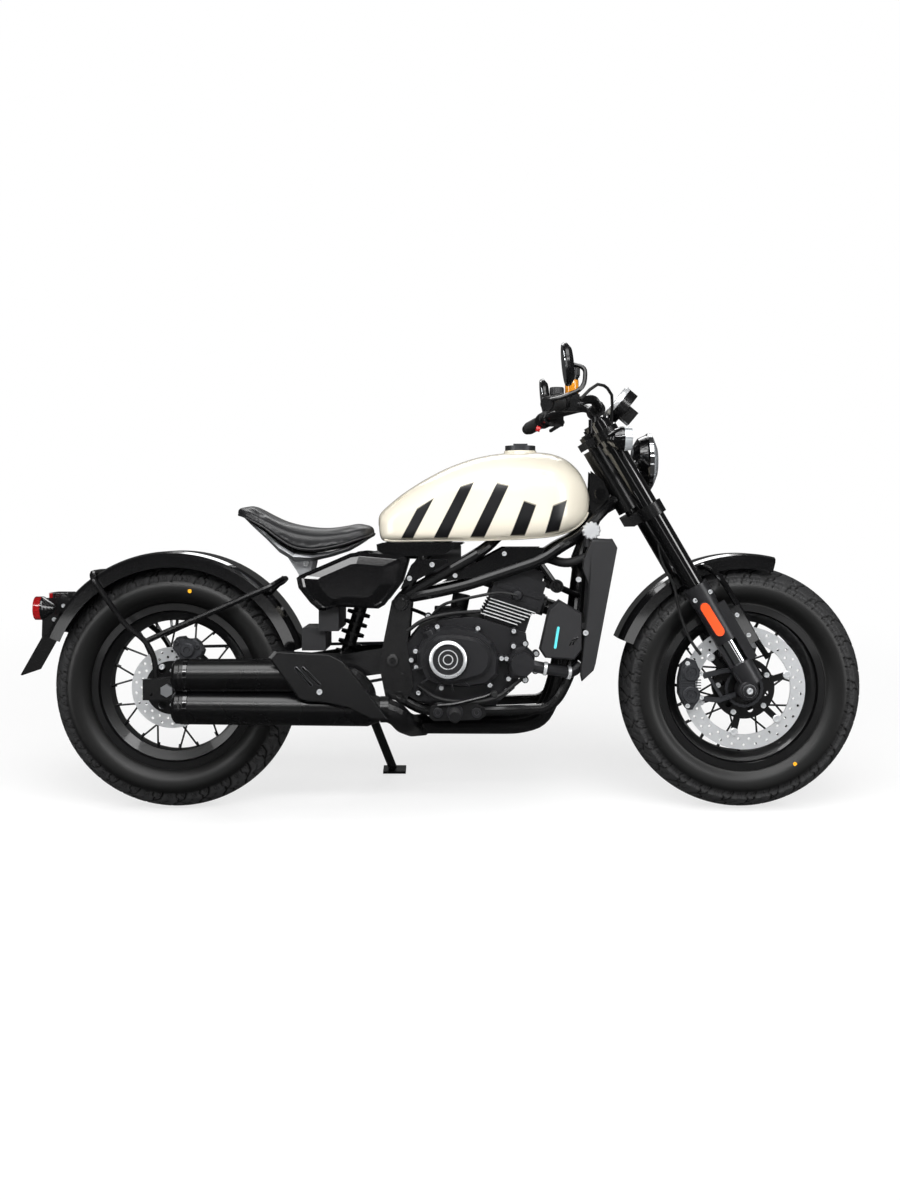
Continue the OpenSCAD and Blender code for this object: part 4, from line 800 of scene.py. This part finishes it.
piece("rear_wheel_bolts", rear_bolts, bright_bolt, "rear_wheel", sharp=30)

toothed = bmesh.new()
turned(toothed, [(42, 0), (50, 0), (50, 2), (42, 2)], FRONT_HUB + Vector((0, -72.5, 0)), RIGHT, 96,
       closed=True, lobes=24, lobe=0.9)
piece("speed_ring", toothed, dark_anodised, "front_wheel", sharp=30)

fork_bolts = bmesh.new()
FORK = BIKE @ Matrix.Translation((1485, 0, 318)) @ Matrix.Rotation(-RAKE, 4, "Y") \
    @ Matrix.Translation((-17, 0, 0))
for side in (-1, 1):
    for p, h in ((36.5 - 22, 268), (36.5 + 22, 268)):
        bolt(fork_bolts, steer_pt(p, side * 128, h), (0, side, 0), 6)
    for p, h in ((92, 178), (92, 118)):
        bolt(fork_bolts, steer_pt(p, side * 100, h), (0, side, 0), 6)
    for h in (518, 748):
        for p in (-6, 20):
            bolt(fork_bolts, steer_pt(p, side * (105 - 38), h + 4) + Vector((0, 0, 0)), (0, side, 0), 4)
    bolt(fork_bolts, FRONT_HUB + Vector((0, side * 140.5, 0)), (0, side, 0), 8)
piece("fork_bolts", fork_bolts, bright_bolt, "steering", sharp=30)
axle_caps = bmesh.new()
for side in (-1, 1):
    turned(axle_caps, [(24, -6), (24, 3), (21, 6), (17.4, 6), (17.4, -6)],
           FRONT_HUB + Vector((0, side * 128, 0)), (0, side, 0), 48, closed=True)
    turned(axle_caps, [(15, 0), (16, 1), (16, 3), (14, 4), (9, 4), (9, 0)],
           FRONT_HUB + Vector((0, side * 138.5, 0)), (0, side, 0), 40, closed=True)
piece("axle_caps", axle_caps, coated_casting, "steering", sharp=30)
caliper_bolts = bmesh.new()
for x, z in ((-150, 66), (-150, -44), (-116, 40), (-114, -22)):
    bolt(caliper_bolts, FRONT_HUB + Vector((x, -90, z)), RIGHT, 6)
piece("caliper_bolts", caliper_bolts, bright_bolt, "steering", sharp=30)

# The front caliper
# Forged in two halves that bolt round the disc, with four round pistons, cooling ribs and
# two slim arms that reach the fork leg. It replaces the plainer solid in the same place.

def strip(shape, a, b, width, thick, axis):
    """Flat strip with round ends from a to b, standing thick along axis."""
    axis = Vector(axis).normalized()
    run = (b - a).normalized()
    side = axis.cross(run)
    rim = [b + width / 2 * (math.sin(t) * side + math.cos(t) * run)
           for t in (math.radians(90 - 22.5 * k) for k in range(9))]
    rim += [a - width / 2 * (math.sin(t) * side + math.cos(t) * run)
            for t in (math.radians(90 - 22.5 * k) for k in range(9))]
    low = [shape.verts.new(p - 0.5 * axis) for p in rim]
    mid = [shape.verts.new(p + thick * 0.7 * axis) for p in rim]
    centre = (a + b) / 2
    top = [shape.verts.new(p + (centre - p).normalized() * min(1.0, width / 6) + thick * axis)
           for p in rim]
    for first, second in ((low, mid), (mid, top)):
        for k in range(18):
            shape.faces.new((first[k], second[k], second[(k + 1) % 18], first[(k + 1) % 18]))
    shape.faces.new(low)
    shape.faces.new(top[::-1])


def slab(shape, outline, near, far, edge):
    """Plate in the side view between two distances to the right, with a chamfered outer rim."""
    middle = Vector((sum(x for x, _ in outline), sum(z for _, z in outline))) / len(outline)
    rings = []
    for y, pull in ((near, 0), (far - edge, 0), (far, edge)):
        ring = []
        for x, z in outline:
            spot = Vector((x, z))
            spot += (middle - spot).normalized() * pull
            ring.append(shape.verts.new((spot.x, -y, spot.y)))
        rings.append(ring)
    n = len(outline)
    for a, b in zip(rings, rings[1:]):
        for k in range(n):
            shape.faces.new((a[k], b[k], b[(k + 1) % n], a[(k + 1) % n]))
    shape.faces.new(rings[0])
    shape.faces.new(rings[-1][::-1])


caliper_body = bmesh.new()
CALIPER = [(-160, -40), (-172, -14), (-172, 24), (-164, 62), (-146, 78), (-128, 72), (-122, 58),
           (-120, 52), (-125, 34), (-129, 18), (-129, 4), (-128, -14), (-124, -34), (-128, -40),
           (-136, -54), (-150, -54)]
slab(caliper_body, [(1485 + x, 318 + z) for x, z in CALIPER], 71, 91, 4)
slab(caliper_body, [(1485 + x, 318 + z) for x, z in CALIPER], 53, 61, 3)
slab(caliper_body, [(1322, 300), (1314, 320), (1314, 336), (1322, 352), (1328, 352), (1322, 320),
                    (1328, 300)], 60.5, 71.5, 1)
for arm in ([(-112, 40), (-60, 52), (-24, 56), (-24, 44), (-62, 38), (-106, 26)],
            [(-108, -20), (-70, -22), (-24, -8), (-24, -20), (-66, -36), (-112, -32)],
            [(-100, 34), (-92, 36), (-56, -22), (-64, -26)]):
    slab(caliper_body, [(1485 + x, 318 + z) for x, z in arm], 82, 92, 2)
for x, z in ((-140, 42), (-140, -16)):
    turned(caliper_body, [(23, -2), (23, 3), (20, 6), (14, 6), (12, 3), (4, 3), (3, 5)],
           FRONT_HUB + Vector((x, -90, z)), RIGHT, 40)
for k in range(4):
    strip(caliper_body, FRONT_HUB + Vector((-166, -90.6, 2 + 7 * k)),
          FRONT_HUB + Vector((-116, -90.6, 2 + 7 * k)), 2.6, 2.5, RIGHT)
shell = piece("caliper_shell", caliper_body, dark_anodised, "steering", sharp=30)
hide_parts("front_caliper")

# The rear caliper
# One floating piston in a black casting behind the silencer, on two pins through its bracket.
# It replaces the plainer solid in the same place.

REAR_CALIPER = [(4, 102), (5, 118), (14, 131), (32, 133), (38, 126), (52, 126), (58, 129), (72, 118),
                (84, 96), (80, 84), (68, 78), (70, 66), (62, 57), (48, 62), (36, 73), (18, 84)]
rear_body = bmesh.new()
slab(rear_body, [(x, 320 + z) for x, z in REAR_CALIPER], 79.5, 95, 4)
slab(rear_body, [(x, 320 + z) for x, z in REAR_CALIPER], 53, 70.5, 3)
slab(rear_body, [(14, 431), (14, 448), (34, 450), (60, 444), (58, 436), (34, 438)], 70, 80, 1)
slab(rear_body, [(22, 330), (44, 330), (60, 390), (22, 410)], 86, 98, 2)
turned(rear_body, [(19, -2), (19, 4), (16, 7), (9, 7), (8, 4), (0.1, 4)], (42, -94, 418), RIGHT, 40)
for x, z in ((14, 438), (68, 428), (62, 384)):
    turned(rear_body, [(7, -2), (7, 5), (5.5, 6.5), (3, 6.5), (3, 3), (0.1, 3)], (x, -94.5, z), RIGHT, 24)
for k in range(3):
    strip(rear_body, Vector((20 + 3 * k, -94.6, 402 - 7 * k)), Vector((58 + 3 * k, -94.6, 397 - 7 * k)),
          2.6, 2.5, RIGHT)
rear_shell = piece("rear_caliper_shell", rear_body, dark_anodised, "chassis", sharp=30)
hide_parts("rear_caliper")

# Engine and exhaust details
# The clutch cover's turned ring, the machined edges of the fins, the oil filler, plug cap,
# coolant hoses and cooling slots, and the radiator's knurled cap and sight strip.

bright_edges = bmesh.new()
CLUTCH_HUB = Vector((716, 0, 403))
turned(bright_edges, [(47.5, 194), (47.5, 196.5), (42, 201), (39.5, 201), (37.5, 196.6), (37.5, 194)],
       CLUTCH_HUB, RIGHT, 96, closed=True)
for radius in (25, 13):
    turned(bright_edges, [(radius, 195), (radius, 197.2), (radius - 2.5, 197.2), (radius - 2.5, 195)],
           CLUTCH_HUB, RIGHT, 72, closed=True)
CYLINDERS = BIKE @ Matrix.Translation((822, 0, 390)) @ Matrix.Rotation(math.radians(18), 4, "Y")
fin_edges = bmesh.new()
for k in range(6):
    rear, length, base = -56 + (5 - k) * 1.5, 130 - (5 - k) * 1.5 - k * 7, 158 - 3.2 - k * 8.7
    for low, high in (((rear, -112.6, base + 0.4), (rear + length, -112.0, base + 2.8)),
                      ((rear, 112.0, base + 0.4), (rear + length, 112.6, base + 2.8)),
                      ((rear + length, -112, base + 0.4), (rear + length + 0.6, 112, base + 2.8))):
        for v in bmesh.ops.create_cube(fin_edges, size=1)["verts"]:
            v.co = Vector((low[i] if v.co[i] < 0 else high[i] for i in range(3)))
piece("clutch_rings", bright_edges, bright_bolt, "chassis", sharp=40)
# Bare aluminium where the coating was milled off.
milled_edge = finish("milled_edge", "#f2f3f4", 0.35, metal=0.3, grain_mm=0.8, depth=0.08, shift=0.04)
piece("fin_edges", fin_edges, milled_edge, "chassis", place=CYLINDERS)


def cyl_pt(x, y, z):
    """Point of the leaning cylinders in the machine's millimetres."""
    a = math.radians(18)
    return Vector((822 + x * math.cos(a) + z * math.sin(a), y,
                   390 - x * math.sin(a) + z * math.cos(a)))


castings = bmesh.new()
turned(castings, [(17, -20), (17, 8), (15, 12), (6, 12), (6, 16), (0.1, 16)], (668, -150, 466),
       Vector((-0.5, -0.3, 1)), 40, lobes=8, lobe=0.8)
for side in (-1, 1):
    turned(castings, [(15, -6), (15, 16), (11, 22), (11, 34), (0.1, 36)], cyl_pt(14, side * 112, 186),
           (0, side, 0), 32)
    for x in (-34, 64):
        turned(castings, [(10, -60), (10, 4), (8, 6)], cyl_pt(x, side * 100, 212), cyl_pt(0, 0, 1)
               - cyl_pt(0, 0, 0), 24)
    strip(castings, cyl_pt(-40, side * 114, 196), cyl_pt(72, side * 114, 196), 9, 3, (0, side, 0))
    strip(castings, cyl_pt(-40, side * 114, 168), cyl_pt(72, side * 114, 168), 7, 3, (0, side, 0))
for k in range(5):
    a = math.radians(200 + 26 * k)
    strip(castings, CLUTCH_HUB + Vector((66 * math.cos(a), -167, 66 * math.sin(a))),
          CLUTCH_HUB + Vector((94 * math.cos(a), -167, 84 * math.sin(a))), 5, 2, RIGHT)
BULGE = [(-28, 58), (10, 62), (53, 57), (78, 50), (103, 28), (111, 3), (106, -22), (91, -41), (66, -50),
         (30, -60), (-10, -63), (-45, -45), (-63, 0), (-48, 42)]
slab(castings, [(716 + x, 403 + z) for x, z in BULGE], 160, 184, 9)
for x in (691, 788):
    turned(castings, [(13, -1), (13, 2), (11, 4), (6, 4), (5.5, 1), (0.1, 1)], (x, -195, 270), RIGHT, 24)
turned(castings, [(21, -1), (21, 3), (18, 6), (0.1, 6)], (733, -195, 271), RIGHT, 32)
piece("engine_castings", castings, coated_casting, "chassis", sharp=40)

hoses = bmesh.new()
tube(hoses, bent([cyl_pt(40, -70, 262), cyl_pt(52, -84, 300), (1020, -100, 640), (1075, -120, 660),
                  (1100, -120, 668)], 40, 5), 12, 20)
tube(hoses, bent([(668, -104, 500), (700, -134, 540), (790, -138, 560), cyl_pt(-30, -132, 180),
                  cyl_pt(14, -146, 186)], 40, 5), 4, 12)
tube(hoses, bent([(612, -128, 470), (650, -140, 500), (720, -128, 516), (800, -118, 520)], 30, 4), 5, 12)
tube(hoses, bent([(640, -126, 330), (690, -176, 300), (780, -176, 292), (840, -150, 300),
                  (905, -140, 350)], 40, 5), 5, 12)
tube(hoses, bent([(596, -100, 520), (560, -112, 470), (556, -118, 420), (600, -126, 360)], 30, 4), 5, 12)
tube(hoses, bent([(600, 90, 520), (650, 124, 500), (700, 128, 470), (734, 124, 430)], 30, 4), 5, 12)
piece("engine_hoses", hoses, soft_rubber, "chassis", sharp=60)

clamps = bmesh.new()
for at, axis in (((962, -165, 378), (1, 0, -0.15)), ((1022, -152, 367), (1, 0.2, -0.1)),
                 ((1088, -120, 665), (1, 0, 0.3))):
    turned(clamps, [(14.5, -4), (17.4, -4), (17.4, 4), (14.5, 4)], at, axis, 40, closed=True)
turned(clamps, [(18, -16), (22, -14), (22, 2), (19, 5), (9, 6), (0.1, 6)], (1079, -168, 727),
       RIGHT, 96, lobes=12, lobe=1.6)
for x, z, angle in ((1045, 604, 0), (1062, 470, 0)):
    bolt(clamps, (x, -189 if x > 1050 else -182, z), RIGHT, 7)
piece("bright_clamps", clamps, bright_bolt, "chassis", sharp=40)

sight_glass = finish("sight_glass", "#5fd4dc", 0.2, coat=1.0, shift=0.05)
sight = bmesh.new()
strip(sight, Vector((985, -194.3, 434)), Vector((993, -194.3, 483)), 6.5, 0.8, RIGHT)
piece("coolant_sight", sight, sight_glass, "chassis")

# The slots are not cut through: glossy black strips on grey rims stand in the openings, painted shade for
# the dark inside them.
slots, slot_rims = bmesh.new(), bmesh.new()
for a, b in (((340, 387), (377, 345)), ((357, 387), (397, 347))):
    strip(slot_rims, Vector((a[0], -244, a[1])), Vector((b[0], -244, b[1])), 9, 0.9, RIGHT)
    strip(slots, Vector((a[0], -244, a[1])), Vector((b[0], -244, b[1])), 6, 1.3, RIGHT)
for a, b in (((1030, 442), (1041, 458)), ((1022, 440), (1033, 456))):
    strip(slots, Vector((a[0], -194, a[1])), Vector((b[0], -194, b[1])), 4, 1.2, RIGHT)
piece("shield_slots", slots, black_enamel, "chassis")
piece("shield_slot_rims", slot_rims, dark_anodised, "chassis")

bands = bmesh.new()
for x, z, radius in ((60, 362, 43), (400, 362, 43), (60, 284, 43), (500, 284, 43)):
    turned(bands, [(radius, -6), (radius + 1.6, -5), (radius + 1.6, 5), (radius, 6)], (x, -190, z),
           (1, 0, 0), 72, closed=True)
piece("exhaust_bands", bands, black_enamel, "chassis", sharp=40)

# Lamps, reflectors and the dial
# Clear moulded lenses over bright bowls, a chromed rim on the headlight, amber reflectors on
# the fork guards and a round dial under glass in a turned bezel.

def lens_mix(name, parts):
    """Material that changes along the machine: [from x in millimetres, colour, roughness, metal]."""
    made = bpy.data.materials.new(name)
    made.use_nodes = True
    tree = made.node_tree
    tree.nodes.clear()
    place = node(tree, "TexCoord").outputs["Object"]
    along = node(tree, "SeparateXYZ", {"Vector": place}).outputs["X"]
    flutes = node(tree, "TexWave", {"Vector": place, "Scale": 60.0}, bands_direction="Y")
    bump = node(tree, "Bump", {"Strength": 0.25, "Distance": 0.001, "Height": flutes.outputs["Fac"]})
    shader = None
    for start, code, rough, metal in parts:
        layer = node(tree, "BsdfPrincipled", {"Base Color": colour(code), "Roughness": rough,
                                              "Metallic": metal, "Coat Weight": 1.0,
                                              "Normal": bump.outputs["Normal"]}).outputs[0]
        if shader is None:
            shader = layer
            continue
        here = node(tree, "Math", {0: along, 1: (start - MIDDLE.x) * MM}, operation="GREATER_THAN")
        shader = node(tree, "MixShader", {0: here.outputs[0], 1: shader, 2: layer}).outputs[0]
    node(tree, "OutputMaterial", {"Surface": shader})
    return made


BUCKET = (-2000, "#060607", 0.15, 0.0)
LAMP_LOOKS = {
    "headlight": [BUCKET, (1242, "#e8eaec", 0.08, 1.0), (1253, "#d5dbe0", 0.12, 0.6)],
    "front_signals": [BUCKET, (1161, "#c9cdd0", 0.15, 0.5)],
    "tail_lights": [(-2000, "#8a0c0f", 0.12, 0.0), (-321, "#0a0a0b", 0.2, 0.0)],
}
for name, parts in LAMP_LOOKS.items():
    lamp_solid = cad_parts[name]
    lamp_solid.data.materials.clear()
    lamp_solid.data.materials.append(lens_mix(name + "_looks", parts))

amber_lens = finish("amber_lens", "#f04800", 0.45, coat=0.15, grain_mm=3, depth=0.4, shift=0.15)
reflectors = bmesh.new()
holders = bmesh.new()
for side in (-1, 1):
    a, b = (Vector((x, side * 136.2, z)) for x, z in ((1371.4, 531), (1409.4, 469.7)))
    strip(holders, a, b, 29, 3.5, (0, side, 0))
    strip(reflectors, a, b, 24, 6, (0, side, 0))
piece("fork_reflectors", reflectors, amber_lens, "steering")
piece("reflector_holders", holders, black_plastic, "steering")

DIAL_AXIS = Vector((-math.sin(math.radians(50)), 0, math.cos(math.radians(50))))
DIAL = Vector((1174.5, 0, 1060))
bezel = bmesh.new()
turned(bezel, [(46.4, 8), (46.8, 17), (44, 21), (40.5, 20), (40.5, 17.4)], DIAL, DIAL_AXIS, 72, closed=True)
piece("dial_bezel", bezel, bright_bolt, "steering", sharp=40)
marks = bmesh.new()
_, across, upward = frame_of(DIAL_AXIS)
for k in range(25):
    a = math.radians(-30 + 10 * k)
    out = math.cos(a) * across + math.sin(a) * upward
    strip(marks, DIAL + 18.2 * DIAL_AXIS + (32 if k % 3 else 29) * out, DIAL + 18.2 * DIAL_AXIS + 37 * out,
          0.9 if k % 3 else 1.6, 0.4, DIAL_AXIS)
dial_marks = finish("dial_marks", "#e8e8e6", 0.5)
piece("dial_marks", marks, dial_marks, "steering")

# Grips, pegs, reservoirs and mirror glass
# Ribbed rubber sleeves on the bar and the pegs, black cast reservoirs with an amber window,
# and silvered glass in the mirrors.

GRIP_AT = HEAD + Vector((-183, 290, 212))
GRIP_RUN = (HEAD + Vector((-216, 402, 199)) - GRIP_AT).normalized()
sleeves = bmesh.new()
pegs = bmesh.new()
for side in (-1, 1):
    flip = Vector((1, side, 1))
    start, run = GRIP_AT * flip, GRIP_RUN * flip
    rows = [(15, 2), (21, 2), (21, 8), (17.3, 10)]
    for k in range(18):
        rows += [(17.3, 12 + 5.6 * k), (18.6, 13 + 5.6 * k), (18.6, 15.6 + 5.6 * k), (17.3, 16.6 + 5.6 * k)]
    rows += [(17.3, 119), (15, 121)]
    turned(sleeves, rows, start, run, 40)
    rows = [(10, 14), (14, 15)]
    for k in range(7):
        rows += [(14.6, 17 + 10 * k), (14.6, 22 + 10 * k), (13.2, 23.5 + 10 * k), (13.2, 25.5 + 10 * k)]
    rows += [(14.6, 92), (12, 95)]
    turned(pegs, rows, (733, side * 195, 271), (0, side, 0), 32)
    turned(pegs, [(6, -2), (8, 0), (8, 30), (6, 32)], (831, side * 222, 322 if side < 0 else 346),
           (0, side, 0), 24)
piece("grip_sleeves", sleeves, soft_rubber, "steering", sharp=40)
piece("peg_rubbers", pegs, soft_rubber, "chassis", sharp=40)

RESERVOIR = GRIP_AT * Vector((1, -1, 1)) + Vector((37, 47, 0))
amber_window = finish("amber_window", "#c07a1a", 0.15, coat=1.0, shift=0.3)
window = bmesh.new()
turned(window, [(16.2, 26), (16.9, 28), (16.9, 58), (16.2, 60)], RESERVOIR, (0, 0, 1), 48)
piece("reservoir_window", window, amber_window, "steering", sharp=40)
lids = bmesh.new()
for side in (-1, 1):
    at = RESERVOIR * Vector((1, -side, 1))
    turned(lids, [(19, 70), (20, 71), (20, 88), (18, 91.5), (8, 92), (0.1, 92)], at, (0, 0, 1), 60,
           lobes=20, lobe=0.5)
piece("reservoir_lids", lids, black_plastic, "steering", sharp=40)

stop_red = finish("stop_red", "#c01a1c", 0.35, coat=0.4)
button = bmesh.new()
turned(button, [(8, -6), (8, 4), (6.5, 6), (0.1, 6)], (971, 262, 1016), (-0.9, 0, 0.3), 24)
piece("stop_button", button, stop_red, "steering", sharp=40)

mirror_glass = finish("mirror_glass", "#d8dcdf", 0.03, metal=1.0, shift=0.02)
glass = bmesh.new()
MIRROR_AXIS = Vector((-math.sin(math.radians(84)), 0, -math.cos(math.radians(84))))
for side in (-1, 1):
    turned(glass, [(48, 10), (48, 11.6), (46.5, 12), (0.1, 12)], HEAD + Vector((-168, side * 400, 293)),
           MIRROR_AXIS, 64)
piece("mirror_glass", glass, mirror_glass, "steering", sharp=40)
